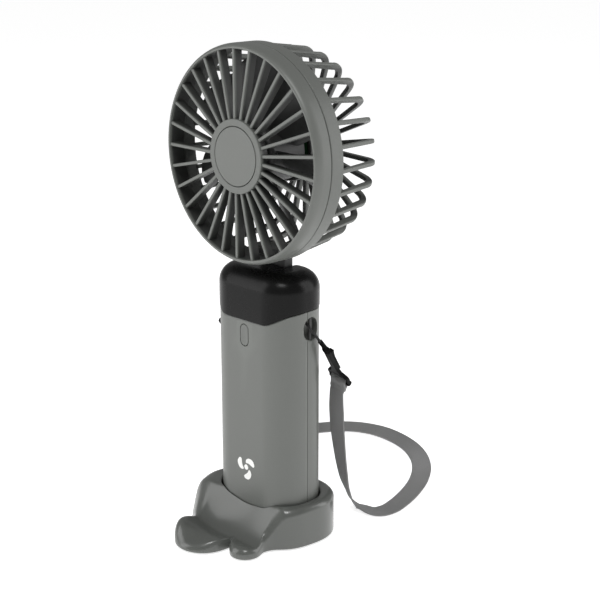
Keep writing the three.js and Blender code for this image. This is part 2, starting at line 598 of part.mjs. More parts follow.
function stand() {
  const underSocket = block([-40, 40], [-15, 40], [0, 20]);
  const hollow = footing(HOLLOW_INSET, 0, SOCKET_FLOOR_Z - STAND_WALL).intersect(underSocket);
  const socket = skin([
    atHeight(handleOutline(-SOCKET_CLEARANCE), SOCKET_FLOOR_Z),
    atHeight(handleOutline(-SOCKET_CLEARANCE), RIM_Z - 1),
    atHeight(handleOutline(-SOCKET_CLEARANCE - 1), RIM_Z + 0.4),
  ]);
  const posts = STAND_SCREWS.map(([x, y, top]) => rod(2.6, [x, y, PLATE_TOP_Z + GAP], [x, y, top], 12));
  const pilots = STAND_SCREWS.map(([x, y, top]) => rod(1.1, [x, y, 0], [x, y, top - 1.2], 10));
  const shell = joined(cut(standForm(), hollow), posts);
  const footRecess = footing(1.4, 0, PLATE_TOP_Z + GAP);
  piece("base_shell", cut(shell, socket, pilots, footRecess), greyStand);

  const plateHoles = STAND_SCREWS.flatMap(([x, y]) => [
    rod(1.3, [x, y, 0], [x, y, 5], 10),
    rod(2.1, [x, y, 0], [x, y, PLATE_FOOT_Z + 0.9], 12),
  ]);
  piece("base_plate", cut(footing(1.8, PLATE_FOOT_Z, PLATE_TOP_Z), plateHoles), darkPlastic);
  piece("grip_pad", footing(3.4, 0, PLATE_FOOT_Z - GAP), rubber);
  STAND_SCREWS.forEach(([x, y, top], i) => {
    piece(`base_screw_${i + 1}`, screw([x, y, PLATE_FOOT_Z], [x, y, top - 1.6], 0.6), steel);
  });
}
const PLATE_FOOT_Z = 1.2;
const PLATE_TOP_Z = 2.6;
// Screw places under the stand, with the height its post reaches.
const STAND_SCREWS = [[-9, -38, 6.4], [14.5, -31, 5.4], [-15, 7, 6.5], [15, 7, 6.5]];
const HOLLOW_INSET = 4.4;
function footing(inset, z0, z1) {
  const outline = evenAngles(50).map((angle) => {
    const r = outlineRadius(angle, inset);
    return [r * Math.cos(angle), r * Math.sin(angle)];
  });
  return prism("xy", outline, z0, z1);
}

// ---------------------------------------------------------------- lanyard
const vector = (p) => new THREE.Vector3(...p);

// Centre line of the strap, from below the right clip round the table to below the left clip.
const STRAP_ROUTE = [
  [21.5, 24.8, 70.8], [21.2, 24.5, 69.4], [20.9, 24.6, 64.4], [20.4, 25.4, 56.3], [19.8, 26.7, 47.9],
  [18.9, 29.2, 36.4], [18.1, 31.7, 26.8], [17.3, 34.8, 17], [17.2, 37.4, 11], [17.4, 39.8, 6.2],
  [18.4, 42.2, 2.4], [21.4, 43.6, 1], [26, 44.4, 0.8], [29.8, 47.4, 0.8], [31.2, 53, 0.8], [29.6, 63, 0.8],
  [25.4, 76.4, 0.8], [18.8, 91, 1], [9.4, 104.6, 1.4], [-1.6, 114.6, 1.8], [-14, 121.4, 2.1], [-28, 125, 2.3],
  [-42, 125.2, 2.3], [-55, 121, 2], [-65.6, 112.4, 1.5], [-73.4, 99, 1], [-77, 83, 0.8], [-75.4, 67, 0.8],
  [-69, 53.4, 0.9], [-60, 43.6, 1.6], [-51, 37, 4.6], [-43.6, 32.2, 11], [-37.6, 28, 21.6],
  [-33.2, 24.4, 35.5], [-30.4, 21.4, 50], [-28.9, 18.9, 63.6], [-28.5, 17.3, 74.4],
];
// Direction the strap's upper face looks in, at fractions of its length.
const STRAP_FACES = [
  [0, [0.08, 0.98, 0.2]], [0.06, [0.12, 0.98, 0.06]], [0.12, [0.3, 0.95, 0.1]], [0.16, [0.5, 0.8, 0.3]],
  [0.19, [0.2, 0.3, 0.9]], [0.22, [0, 0, 1]], [0.4, [-0.05, -0.05, 1]], [0.5, [-0.06, -0.2, 1]],
  [0.62, [0.1, -0.2, 1]], [0.74, [0, 0, 1]], [0.8, [-0.2, 0.3, 0.9]], [0.86, [-0.45, 0.8, 0.3]],
  [1, [-0.1, 0.97, 0.2]],
];
const STRAP_STEPS = 78;

// Direction across the strap at each of its sections.
function strapWidths(curve) {
  return Array.from({ length: STRAP_STEPS + 1 }, (_, i) => {
    const t = i / STRAP_STEPS;
    const k = Math.max(1, STRAP_FACES.findIndex(([at]) => at >= t));
    const [[t0, from], [t1, to]] = [STRAP_FACES[k - 1], STRAP_FACES[k]];
    const face = vector(from).lerp(vector(to), (t - t0) / (t1 - t0));
    return face.cross(curve.getTangentAt(t)).normalize();
  });
}

function strap() {
  const curve = new THREE.CatmullRomCurve3(STRAP_ROUTE.map(vector), false, "centripetal");
  const widths = strapWidths(curve);
  const rings = curve.getSpacedPoints(STRAP_STEPS).map((p, i) => {
    const normal = curve.getTangentAt(i / STRAP_STEPS).cross(widths[i]).normalize();
    const [w, h] = [STRAP_WIDTH / 2, STRAP_THICKNESS / 2];
    const section = [[-w, -h], [w, -h], [w, h], [-w, h]].map(([a, b]) =>
      p.clone().addScaledVector(widths[i], a).addScaledVector(normal, b),
    );
    // The strap lies on the table: a section that would dip into it is lifted.
    const lift = Math.max(0, 0.1 - Math.min(...section.map((q) => q.z)));
    return section.map((q) => [q.x, q.y, q.z + lift]);
  });
  piece("strap_ribbon", skin(rings), ribbonCloth);
}

// A cord doubled round the eye pin, its two ends gripped by the clip's sleeve.
function cordLoop(name, eye, collar) {
  const start = vector(eye);
  const along = vector(collar).sub(start);
  const length = along.length();
  along.normalize();
  const across = new THREE.Vector3().crossVectors(along, axis(2)).normalize();
  const up = new THREE.Vector3().crossVectors(across, along).normalize();
  const [bend, spread, ends] = [1.7, 0.65, length - SLEEVE_LENGTH - GAP];
  const slope = Math.hypot(along.x, along.y);
  const round = Array.from({ length: 9 }, (_, i) => {
    const a = Math.PI / 2 + (Math.PI * i) / 8;
    return [(bend / slope) * Math.cos(a), bend * Math.sin(a)];
  });
  const path = [[ends, spread], [ends * 0.5, 1.2], ...round, [ends * 0.5, -1.2], [ends, -spread]];
  const rings = path.map(([s, t], i) => {
    const [before, after] = [path[Math.max(i - 1, 0)], path[Math.min(i + 1, path.length - 1)]];
    const heading = new THREE.Vector2(after[0] - before[0], after[1] - before[1]).normalize();
    const outward = across.clone().multiplyScalar(heading.x).addScaledVector(along, -heading.y);
    const centre = start.clone().addScaledVector(along, s).addScaledVector(across, t);
    return Array.from({ length: 8 }, (_, j) => {
      const a = (Math.PI * j) / 4;
      const p = centre.clone().addScaledVector(outward, CORD_RADIUS * Math.cos(a));
      return p.addScaledVector(up, CORD_RADIUS * Math.sin(a)).toArray();
    });
  });
  piece(name, skin(rings), cordCloth);
}

// A strap clip in its own plane: a sleeve and collar that grip the cord, a plate that widens to
// the crossbar the ribbon is folded round, and a thumb lever lying on the plate.
function clip(side, eye, { collar, crossbar, bar, foldDrop }) {
  const top = vector(collar);
  const foot = vector(crossbar);
  const down = foot.clone().sub(top);
  const length = down.length();
  down.normalize();
  const facing = down.clone().cross(vector(bar)).normalize();
  const wide = facing.clone().cross(down).normalize();
  const place = new THREE.Matrix4().makeBasis(wide, down, facing.clone().negate()).setPosition(top);
  const plate = (outline, from, to) => {
    const shape = new THREE.Shape(outline.map(([a, b]) => new THREE.Vector2(a, b)));
    const slab = new THREE.ExtrudeGeometry(shape, { depth: to - from, bevelEnabled: false });
    return solidOf(slab.translate(0, 0, from).applyMatrix4(place));
  };
  const rectangle = ([x0, x1], [y0, y1]) => [[x0, y0], [x1, y0], [x1, y1], [x0, y1]];
  const half = CROSSBAR_LENGTH / 2;
  const body = plate([
    [-2, 1], [2, 1], [2, 6], [3.8, length - 6.6], [half, length - 5], [half, length - 0.4],
    [-half, length - 0.4], [-half, length - 5], [-3.8, length - 6.6], [-2, 6],
  ], -1, 1);
  const slot = plate(rectangle([1.1 - half, half - 1.1], [length - 3.9, length + 3]), -2, 2);
  const collarBlock = plate(rectangle([-2.3, 2.3], [0, 3.2]), -1.5, 1.5);
  const local = (x, y, z) => new THREE.Vector3(x, y, z).applyMatrix4(place).toArray();
  const crossRod = rod(1.1, local(-half, length, 0), local(half, length, 0), 10);
  const towardsEye = vector(eye).sub(top).normalize();
  const sleeveEnd = top.clone().addScaledVector(towardsEye, SLEEVE_LENGTH);
  const sleeve = rod(SLEEVE_RADIUS, sleeveEnd.toArray(), local(0, 1, 0), 10);
  piece(`clip_body_${side}`, joined(cut(body, slot), collarBlock, sleeve, crossRod), clipPlastic);
  const lever = joined(
    plate(rectangle([-1.3, 1.3], [4.6, length - 8]), 1.3, 2.3),
    plate(rectangle([-1.3, 1.3], [4.6, 7.4]), 2, 3.1),
  );
  piece(`clip_lever_${side}`, lever, clipPlastic);

  // The ribbon's folded end: two layers sewn together below the crossbar, slanted with it.
  const barLine = vector(bar).normalize();
  const out = new THREE.Vector3(barLine.y, -barLine.x, 0).normalize();
  const outline = [];
  for (let i = 0; i <= 8; i++) {
    const a = (Math.PI * i) / 8;
    outline.push([2.4 * Math.cos(a), 2.4 * Math.sin(a)]);
  }
  outline.push([-1, -foldDrop], [1, -foldDrop]);
  const rings = [-1, 1].map((end) =>
    outline.map(([a, b]) => {
      const p = foot.clone().addScaledVector(barLine, (end * STRAP_END_WIDTH) / 2).addScaledVector(out, a);
      return [p.x, p.y, p.z + b];
    }),
  );
  const barRoom = rod(1.5, local(-20, length, 0), local(20, length, 0), 10);
  piece(`strap_end_${side}`, cut(skin(rings), barRoom), ribbonCloth);
}

const CLIPS = {
  right: {
    collar: [28.6, 8.6, 96.5],
    crossbar: [22.6, 25.5, 75.8],
    bar: [13.6, 1.1, -3.7],
    foldDrop: 4.4,
  },
  left: {
    collar: [-32.2, -2, 99.2],
    crossbar: [-28.6, 16.9, 80],
    bar: [-13.6, 1.1, -1.5],
    foldDrop: 4.9,
  },
};

function lanyard() {
  Object.entries(CLIPS).forEach(([side, places]) => {
    const eye = [side === "right" ? EYE_X : -EYE_X, EYE_Y, EYE_Z];
    cordLoop(`cord_loop_${side}`, eye, places.collar);
    clip(side, eye, places);
  });
  strap();
}

stand();
handle();
electronics();
cap();
hinge();
frontGrille();
rearGrille();
motor();
lanyard();

export default fan;
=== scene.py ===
"""Looks of a rechargeable hand-held fan: caged head, slim handle, wrist strap and phone-rest stand.

Sizes are in millimetres in the code and in metres in the meshes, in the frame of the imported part.
"""
import math

import bmesh
import bpy
from mathutils import Matrix, Vector


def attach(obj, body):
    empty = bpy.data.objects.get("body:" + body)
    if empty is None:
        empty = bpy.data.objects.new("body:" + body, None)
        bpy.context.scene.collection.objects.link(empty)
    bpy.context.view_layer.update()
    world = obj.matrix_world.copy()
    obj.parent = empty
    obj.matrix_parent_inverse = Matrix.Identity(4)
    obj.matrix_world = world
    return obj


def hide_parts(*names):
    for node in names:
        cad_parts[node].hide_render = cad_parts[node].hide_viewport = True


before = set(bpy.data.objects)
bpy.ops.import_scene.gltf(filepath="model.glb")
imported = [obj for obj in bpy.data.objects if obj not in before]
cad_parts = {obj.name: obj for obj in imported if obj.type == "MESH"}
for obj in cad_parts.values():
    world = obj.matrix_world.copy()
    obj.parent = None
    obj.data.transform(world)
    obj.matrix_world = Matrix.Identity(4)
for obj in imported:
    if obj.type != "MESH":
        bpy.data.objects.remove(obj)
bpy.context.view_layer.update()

MM = 0.001
TAU = 2 * math.pi

# ---------------------------------------------------------------- sizes
GAP = 0.3
HANDLE_WIDTH, HANDLE_DEPTH, HANDLE_CORNER = 51.0, 32.4, 14.4
HANDLE_FOOT_Z, HANDLE_WALL = 8.4, 1.8
LIP_INSET, LIP_TOP_Z = 2.2, 118.0
SEAM_FRONT_Z, SEAM_RISE, SEAM_RISE_OVER = 109.0, 6.4, 4.2
BUTTON_Z, BUTTON_WIDTH, BUTTON_HEIGHT = 102.0, 5.2, 10.4
USB_Z, USB_WIDTH, USB_HEIGHT = 28.6, 9.2, 3.4
EYE_X, EYE_Y, EYE_Z = 24.2, 2.7, 106.6
CAP_TOP_Z, CAP_ROUND, CAP_WALL, CAP_OVERHANG = 133.0, 9.0, 1.8, 0.3
HINGE_Y, HINGE_Z, PIN_RADIUS, BARREL_RADIUS = 5.5, 126.0, 1.5, 3.6
NECK_HALF_WIDTH, NECK_TOP_Z = 8.4, 137.0
NECK_SCREW_X, NECK_SCREW_Y = (-5.0, 5.0), 4.7
HEAD_Z, HEAD_RADIUS, HEAD_FRONT_Y, OPENING_RADIUS = 186.6, 50.0, -19.0, 47.5
SHELL_SEAM_Y, BAND_REAR_Y, CAGE_REAR_Y = -10.0, -2.6, 26.0
SPOKES, SPOKE_TURN, SPOKE_WIDTH, RIB_WIDTH = 29, math.radians(9), 1.5, 2.0
HUB_RADIUS, BADGE_RADIUS, REAR_HUB_RADIUS = 16.9, 13.4, 15.5
SPOKE_FRONT_Y, SPOKE_LEAN = -19.9, 0.046
BLADES, BLADE_TIP_RADIUS, IMPELLER_HUB_RADIUS = 7, 43.3, 14.0
RIB_OUTER_RADIUS, RIB_DEPTH, RIB_BEND, RIB_INNER_RADIUS = 47.0, 3.1, 8.5, 43.9
RIM_Z, SOCKET_FLOOR_Z, SOCKET_CLEARANCE, STAND_FOOT_Z = 21.0, 8.0, 0.7, 0.6
PLATE_TOP_Z = 2.6
RIM_DIP = 2.2
REST_TOP_Y, REST_RUN, REST_BLEND, CHEEK_LEAD, TROUGH_Z, TROUGH_RISE = -15.8, 17.0, 1.0, 1.5, 4.4, 3.6
TOE_INNER_Y, TOE_SLOPE, TOE_CROWN, SMALL_TOE_Z, LARGE_TOE_RISE = -28.6, 0.5, 0.045, 6.8, 7.2
STRAP_WIDTH, STRAP_END_WIDTH, STRAP_THICKNESS, CORD_RADIUS = 10.4, 8.8, 0.9, 0.6
CROSSBAR_LENGTH, SLEEVE_RADIUS, SLEEVE_LENGTH = 12.4, 1.2, 4.6

# ---------------------------------------------------------------- camera
CAMERA_PLACE = (0.4401, -0.4188, 0.2935)
CAMERA_AZIMUTH, CAMERA_ELEVATION = 45.05, 16.32
LENS, SENSOR = 80.45, 36.0


def linked(name, data):
    """A new object in the scene."""
    obj = bpy.data.objects.new(name, data)
    bpy.context.collection.objects.link(obj)
    return obj


def add_camera():
    camera = linked("camera", bpy.data.cameras.new("camera"))
    camera.data.lens, camera.data.sensor_width = LENS, SENSOR
    camera.location = CAMERA_PLACE
    camera.rotation_euler = (math.radians(90 - CAMERA_ELEVATION), 0, math.radians(CAMERA_AZIMUTH))
    bpy.context.scene.camera = camera


add_camera()


# ---------------------------------------------------------------- mesh helpers
def make(name, points, faces):
    """A smooth-shaded mesh object from points in millimetres."""
    mesh = bpy.data.meshes.new(name)
    mesh.from_pydata([Vector(p) * MM for p in points], [], faces)
    bm = bmesh.new()
    bm.from_mesh(mesh)
    bmesh.ops.remove_doubles(bm, verts=bm.verts, dist=1e-7)
    bmesh.ops.recalc_face_normals(bm, faces=bm.faces)
    bm.to_mesh(mesh)
    bm.free()
    mesh.shade_smooth()
    return linked(name, mesh)


def grid_faces(rows, columns, around=True, endless=False):
    """Quads between rows of points; around closes each row, endless joins the last row to the first."""
    faces = []
    for i in range(rows if endless else rows - 1):
        for j in range(columns if around else columns - 1):
            a, b = i * columns + j, i * columns + (j + 1) % columns
            c, d = ((i + 1) % rows) * columns + (j + 1) % columns, ((i + 1) % rows) * columns + j
            faces.append((a, b, c, d))
    return faces


def loft(name, rings, endless=False):
    """A closed skin through rings of points, capped at both ends unless it is endless."""
    columns = len(rings[0])
    faces = grid_faces(len(rings), columns, endless=endless)
    if not endless:
        last = (len(rings) - 1) * columns
        faces += [tuple(range(columns)), tuple(range(last, last + columns))]
    return make(name, [p for ring in rings for p in ring], faces)


def slab(name, outline, low, high):
    """An outline of (x, y) points, from one height to another."""
    return loft(name, [[(x, y, z) for x, y in outline] for z in (low, high)])


def rectangle(x0, x1, y0, y1):
    return [(x0, y0), (x1, y0), (x1, y1), (x0, y1)]


def box(name, xs, ys, zs):
    return slab(name, rectangle(*xs, *ys), *zs)


def rod(name, start, end, radius, sides=24):
    start, end = Vector(start), Vector(end)
    along = (end - start).normalized()
    across = along.orthogonal().normalized()
    other = along.cross(across)
    turn = [TAU * j / sides for j in range(sides)]
    return loft(name, [
        [p + across * radius * math.cos(a) + other * radius * math.sin(a) for a in turn] for p in (start, end)
    ])


def turned(name, profile, sides):
    """A closed [radius, y] profile turned about the head's axis."""
    rings = []
    for i in range(sides):
        a = TAU * i / sides
        rings.append([(r * math.sin(a), y, HEAD_Z + r * math.cos(a)) for r, y in profile])
    return loft(name, rings, endless=True)


def fin(name, outline, width, angle):
    """A flat [radius, y] shape of that width, turned about the head's axis, clockwise from its top."""
    out, side = Vector((math.sin(angle), 0, math.cos(angle))), Vector((math.cos(angle), 0, -math.sin(angle)))
    rings = []
    for s in (-width / 2, width / 2):
        rings.append([Vector((0, y, HEAD_Z)) + out * r + side * s for r, y in outline])
    return loft(name, rings)


def apply_modifiers(obj):
    depsgraph = bpy.context.evaluated_depsgraph_get()
    mesh = bpy.data.meshes.new_from_object(obj.evaluated_get(depsgraph))
    obj.modifiers.clear()
    obj.data = mesh
    return obj


def remove(obj):
    bpy.data.objects.remove(obj, do_unlink=True)


def combine(obj, others, operation):
    for other in others:
        change = obj.modifiers.new("combine", "BOOLEAN")
        change.operation, change.object, change.solver = operation, other, "EXACT"
    apply_modifiers(obj)
    for other in others:
        remove(other)
    return obj


def cut(obj, *tools):
    return combine(obj, tools, "DIFFERENCE")


def add(obj, *others):
    return combine(obj, others, "UNION")


def keep(obj, tool):
    return combine(obj, [tool], "INTERSECT")


def gather(name, parts):
    """One object holding several closed shapes."""
    bm = bmesh.new()
    for part in parts:
        bm.from_mesh(part.data)
        remove(part)
    mesh = bpy.data.meshes.new(name)
    bm.to_mesh(mesh)
    bm.free()
    return linked(name, mesh)


def bevelled(obj, width, segments=2, angle=40):
    """Rounds the edges that are sharper than an angle."""
    edge = obj.modifiers.new("edge", "BEVEL")
    edge.width, edge.segments = width * MM, segments
    edge.limit_method, edge.angle_limit = "ANGLE", math.radians(angle)
    return apply_modifiers(obj)


def shaded(obj, angle=32):
    """Smooth shading that stays crisp at sharp edges."""
    obj.data.shade_smooth()
    obj.data.set_sharp_from_angle(angle=math.radians(angle))
    weighted = obj.modifiers.new("normals", "WEIGHTED_NORMAL")
    weighted.keep_sharp = True
    return apply_modifiers(obj)


def dress(obj, body, slot, material, *nodes, angle=32):
    """Finishes a piece: its shading, its material, the body it rides on and the nodes it replaces."""
    shaded(obj, angle)
    obj.data.materials.clear()
    obj.data.materials.append(material)
    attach(obj, body)
    if nodes:
        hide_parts(*nodes)
    return obj


# ---------------------------------------------------------------- materials
class Recipe:
    """A Principled material with object-space patterns added step by step."""

    def __init__(self, name, color, roughness, metallic=0.0, coat=0.0, sheen=0.0, specular=0.5):
        self.material = bpy.data.materials.new(name)
        self.material.use_nodes = True
        self.tree = self.material.node_tree
        self.shader = self.tree.nodes["Principled BSDF"]
        self.color, self.roughness = color, roughness
        self.set(self.shader, {
            "Base Color": (*color, 1), "Roughness": roughness, "Metallic": metallic,
            "Coat Weight": coat, "Coat Roughness": 0.3, "Sheen Weight": sheen, "Specular IOR Level": specular,
        })
        self.place = self.node("ShaderNodeTexCoord").outputs["Object"]
        self.normal = None

    @staticmethod
    def set(node, values):
        for key, value in values.items():
            node.inputs[key].default_value = value

    def node(self, kind, values=None, **settings):
        made = self.tree.nodes.new(kind)
        for key, value in settings.items():
            setattr(made, key, value)
        self.set(made, values or {})
        return made

    def link(self, output, socket):
        self.tree.links.new(output, socket)

    def stretched(self, scale):
        mapping = self.node("ShaderNodeMapping", {"Scale": scale})
        self.link(self.place, mapping.inputs["Vector"])
        return mapping.outputs["Vector"]

    def noise(self, scale, detail=3.0, rough=0.5, place=None):
        noise = self.node("ShaderNodeTexNoise", {"Scale": scale, "Detail": detail, "Roughness": rough})
        self.link(place or self.place, noise.inputs["Vector"])
        return noise.outputs["Fac"]

    def wave(self, scale, distortion=0.0, direction="X", place=None):
        values = {"Scale": scale, "Distortion": distortion}
        wave = self.node("ShaderNodeTexWave", values, bands_direction=direction)
        self.link(place or self.place, wave.inputs["Vector"])
        return wave.outputs["Fac"]

    def spread(self, value, low, high):
        spread = self.node("ShaderNodeMapRange", {"To Min": low, "To Max": high})
        self.link(value, spread.inputs["Value"])
        return spread.outputs["Result"]

    def ramp(self, value, start, end):
        """Rises from 0 to 1 between two values in millimetres."""
        made = self.node("ShaderNodeMapRange", {"From Min": start * MM, "From Max": end * MM})
        self.link(value, made.inputs["Value"])
        return made.outputs["Result"]

    def calculate(self, operation, a, b):
        made = self.node("ShaderNodeMath", operation=operation)
        self.link(a, made.inputs[0])
        self.link(b, made.inputs[1])
        return made.outputs["Value"]

    def tint(self, value, other, amount):
        """Mixes another colour in by a pattern."""
        mix = self.node("ShaderNodeMix", data_type="RGBA")
        source = self.shader.inputs["Base Color"]
        if source.is_linked:
            self.link(source.links[0].from_socket, mix.inputs["A"])
        else:
            mix.inputs["A"].default_value = (*self.color, 1)
        mix.inputs["B"].default_value = (*other, 1)
        self.link(self.spread(value, 0, amount), mix.inputs["Factor"])
        self.link(mix.outputs["Result"], source)
        return self

    def gloss(self, value, change):
        varied = self.spread(value, self.roughness - change, self.roughness + change)
        self.link(varied, self.shader.inputs["Roughness"])
        return self

    def relief(self, value, depth, strength=1.0):
        """Adds a bump of that depth in millimetres."""
        bump = self.node("ShaderNodeBump", {"Strength": strength, "Distance": depth * MM})
        self.link(value, bump.inputs["Height"])
        if self.normal:
            self.link(self.normal, bump.inputs["Normal"])
        self.normal = bump.outputs["Normal"]
        self.link(self.normal, self.shader.inputs["Normal"])
        return self

    def highlighted_edges(self, other, amount):
        """Painted highlight: lightens the sharp edges, as if light caught them."""
        sharp = self.node("ShaderNodeMapRange", {"From Min": 0.53, "From Max": 0.62})
        self.link(self.node("ShaderNodeNewGeometry").outputs["Pointiness"], sharp.inputs["Value"])
        return self.tint(sharp.outputs["Result"], other, amount)


def moulded_recipe(
    name, color, roughness, grain=0.012, coat=0.0, light=1.25, specular=0.5, wear=0.5, coat_roughness=0.3
):
    """Moulded plastic: fine spark-eroded grain, slow colour and gloss variation, and a painted highlight on
    the sharp edges.
    """
    r = Recipe(name, color, roughness, coat=coat, specular=specular)
    r.set(r.shader, {"Coat Roughness": coat_roughness})
    lighter = tuple(min(1, c * light) for c in color)
    darker = tuple(c * 0.86 for c in color)
    r.tint(r.noise(26, 4), darker, 0.35)
    r.tint(r.noise(1400, 2), lighter, 0.22)
    # Painted highlight: the sharp edges, found by pointiness, are lightened as if light caught them.
    if wear:
        r.highlighted_edges(lighter, wear)
    r.gloss(r.noise(90, 5, 0.6), 0.06)
    r.relief(r.noise(2600, 2, 0.55), grain)
    r.relief(r.noise(35, 2), 0.04, 0.25)
    return r


def moulded(*values, **options):
    return moulded_recipe(*values, **options).material


def painted_shade_cage(name, color, roughness):
    """Moulded plastic of the head's cage, with painted shade: the faces that look inwards are tinted almost
    black.
    """
    r = moulded_recipe(name, color, roughness, coat=0.05)
    parts = r.node("ShaderNodeSeparateXYZ")
    r.link(r.place, parts.inputs["Vector"])
    from_axis = r.node("ShaderNodeVectorMath", operation="MULTIPLY_ADD")
    r.link(r.place, from_axis.inputs[0])
    from_axis.inputs[1].default_value = (1, 0, 1)
    from_axis.inputs[2].default_value = (0, 0, -HEAD_Z * MM)
    length = r.node("ShaderNodeVectorMath", operation="LENGTH")
    r.link(from_axis.outputs["Vector"], length.inputs[0])
    radius, depth = length.outputs["Value"], parts.outputs["Y"]
    in_band = r.calculate(
        "MULTIPLY", r.ramp(radius, OPENING_RADIUS + 0.6, OPENING_RADIUS + 0.2),
        r.ramp(depth, BAND_REAR_Y, BAND_REAR_Y - 1),
    )
    in_ribs = r.calculate(
        "MULTIPLY", r.ramp(radius, RIB_INNER_RADIUS + 1.6, RIB_INNER_RADIUS),
        r.ramp(depth, CAGE_REAR_Y - 1, CAGE_REAR_Y - 2.6),
    )
    # The front of the spokes leans back a little from the hub to the ring.
    front = r.node("ShaderNodeMath", {1: SPOKE_LEAN, 2: (SPOKE_FRONT_Y - SPOKE_LEAN * HUB_RADIUS) * MM})
    front.operation = "MULTIPLY_ADD"
    r.link(radius, front.inputs[0])
    behind = r.ramp(r.calculate("SUBTRACT", depth, front.outputs["Value"]), 0.3, 1.5)
    inside = r.calculate("MULTIPLY", r.calculate("MAXIMUM", in_band, in_ribs), behind)
    # Painted shade: faces inside the band and the ribs, behind the spokes' fronts, are tinted almost black,
    # where the head's inside lies in shade.
    r.tint(inside, tuple(c * 0.16 for c in color), 0.9)
    return r.material


def metal(name, color, roughness, scale):
    r = Recipe(name, color, roughness, metallic=1.0)
    streaks = r.noise(1.0, 3, 0.6, r.stretched(scale))
    r.tint(streaks, tuple(c * 0.75 for c in color), 0.5)
    r.gloss(streaks, 0.1)
    r.relief(streaks, 0.01)
    return r.material


def woven(name, color, pitch, depth):
    """Ribbon cloth from the mesh's own map: u runs along it in millimetres, v across it."""
    r = Recipe(name, color, 0.82, sheen=0.25)
    r.place = r.node("ShaderNodeUVMap", uv_map="along").outputs["UV"]
    warp = r.wave(TAU / pitch / 2, 0.4, "Y")
    weft = r.wave(TAU / pitch / 2, 0.4, "X")
    twill = r.wave(TAU / pitch / 4, 0.3, "DIAGONAL")
    r.tint(twill, tuple(c * 0.72 for c in color), 0.55)
    r.tint(r.noise(0.9, 4), tuple(min(1, c * 1.3) for c in color), 0.3)
    r.relief(warp, depth).relief(weft, depth * 0.7).relief(twill, depth * 0.8)
    r.gloss(r.noise(2.2, 3), 0.06)
    return r.material


def braided(name, color, pitch):
    """Braided cord: two crossing sets of strands, from the mesh's own map."""
    r = Recipe(name, color, 0.6, sheen=0.2)
    r.place = r.node("ShaderNodeUVMap", uv_map="along").outputs["UV"]
    for lean in (1, -1):
        strands = r.wave(TAU / pitch / 2, 0.2, "X", r.stretched((1, lean * 2.5, 1)))
        r.tint(strands, tuple(c * 2.4 + 0.01 for c in color), 0.35)
        r.relief(strands, 0.12, 0.8)
    return r.material


SHELL_COLOR = (0.112, 0.118, 0.109)
STAND_COLOR = (0.082, 0.087, 0.080)
DARK_COLOR = (0.030, 0.031, 0.030)
BLACK_COLOR = (0.004, 0.004, 0.004)
materials = {
    "shell": moulded("shell_satin", SHELL_COLOR, 0.4, coat=0.1, coat_roughness=0.25),
    "cage": painted_shade_cage("cage_satin_painted_shade", SHELL_COLOR, 0.44),
    "badge": moulded("badge_satin", SHELL_COLOR, 0.4, coat=0.08, wear=0),
    "stand": moulded("stand_semi_gloss", STAND_COLOR, 0.3, grain=0.006, coat=0.3, coat_roughness=0.14),
    "cap": moulded("cap_satin_black", BLACK_COLOR, 0.27, grain=0.004, light=1.8, specular=0.14),
    "dark": moulded("dark_plastic", DARK_COLOR, 0.5),
    "impeller": moulded("impeller_plastic", DARK_COLOR, 0.42),
    "clip": moulded("clip_acetal", BLACK_COLOR, 0.45, grain=0.008, light=1.8, specular=0.07, wear=0.2),
    "rubber": moulded("silicone", (0.02, 0.02, 0.02), 0.85, grain=0.05),
    "board": moulded("solder_mask", (0.014, 0.075, 0.026), 0.35, coat=0.3),
    "cell": moulded("shrink_sleeve", (0.03, 0.16, 0.35), 0.3, coat=0.3),
    "print": moulded("white_print", (0.82, 0.82, 0.80), 0.5, light=1.1),
    "steel": metal("zinc_steel", (0.58, 0.59, 0.60), 0.32, (300, 2200, 300)),
    "shaft": metal("ground_steel", (0.66, 0.67, 0.69), 0.22, (3000, 90, 3000)),
    "copper": metal("enamelled_copper", (0.60, 0.24, 0.09), 0.35, (200, 3200, 200)),
    "ribbon": woven("ribbon_cloth", (0.36, 0.36, 0.36), 0.55, 0.09),
    "thread": woven("stitch_thread", (0.34, 0.34, 0.34), 0.3, 0.05),
    "cord": braided("braided_cord", (0.008, 0.008, 0.008), 0.7),
}

# ---------------------------------------------------------------- wrist strap
STRAP_ROUTE = [
    (21.5, 24.8, 70.8), (21.2, 24.5, 69.4), (20.9, 24.6, 64.4), (20.4, 25.4, 56.3), (19.8, 26.7, 47.9),
    (18.9, 29.2, 36.4), (18.1, 31.7, 26.8), (17.3, 34.8, 17), (17.2, 37.4, 11), (17.4, 39.8, 6.2),
    (18.4, 42.2, 2.4), (21.4, 43.6, 1), (26, 44.4, 0.8), (29.8, 47.4, 0.8), (31.2, 53, 0.8),
    (29.6, 63, 0.8), (25.4, 76.4, 0.8), (18.8, 91, 1), (9.4, 104.6, 1.4), (-1.6, 114.6, 1.8),
    (-14, 121.4, 2.1), (-28, 125, 2.3), (-42, 125.2, 2.3), (-55, 121, 2), (-65.6, 112.4, 1.5),
    (-73.4, 99, 1), (-77, 83, 0.8), (-75.4, 67, 0.8), (-69, 53.4, 0.9), (-60, 43.6, 1.6), (-51, 37, 4.6),
    (-43.6, 32.2, 11), (-37.6, 28, 21.6), (-33.2, 24.4, 35.5), (-30.4, 21.4, 50), (-28.9, 18.9, 63.6),
    (-28.5, 17.3, 74.4),
]
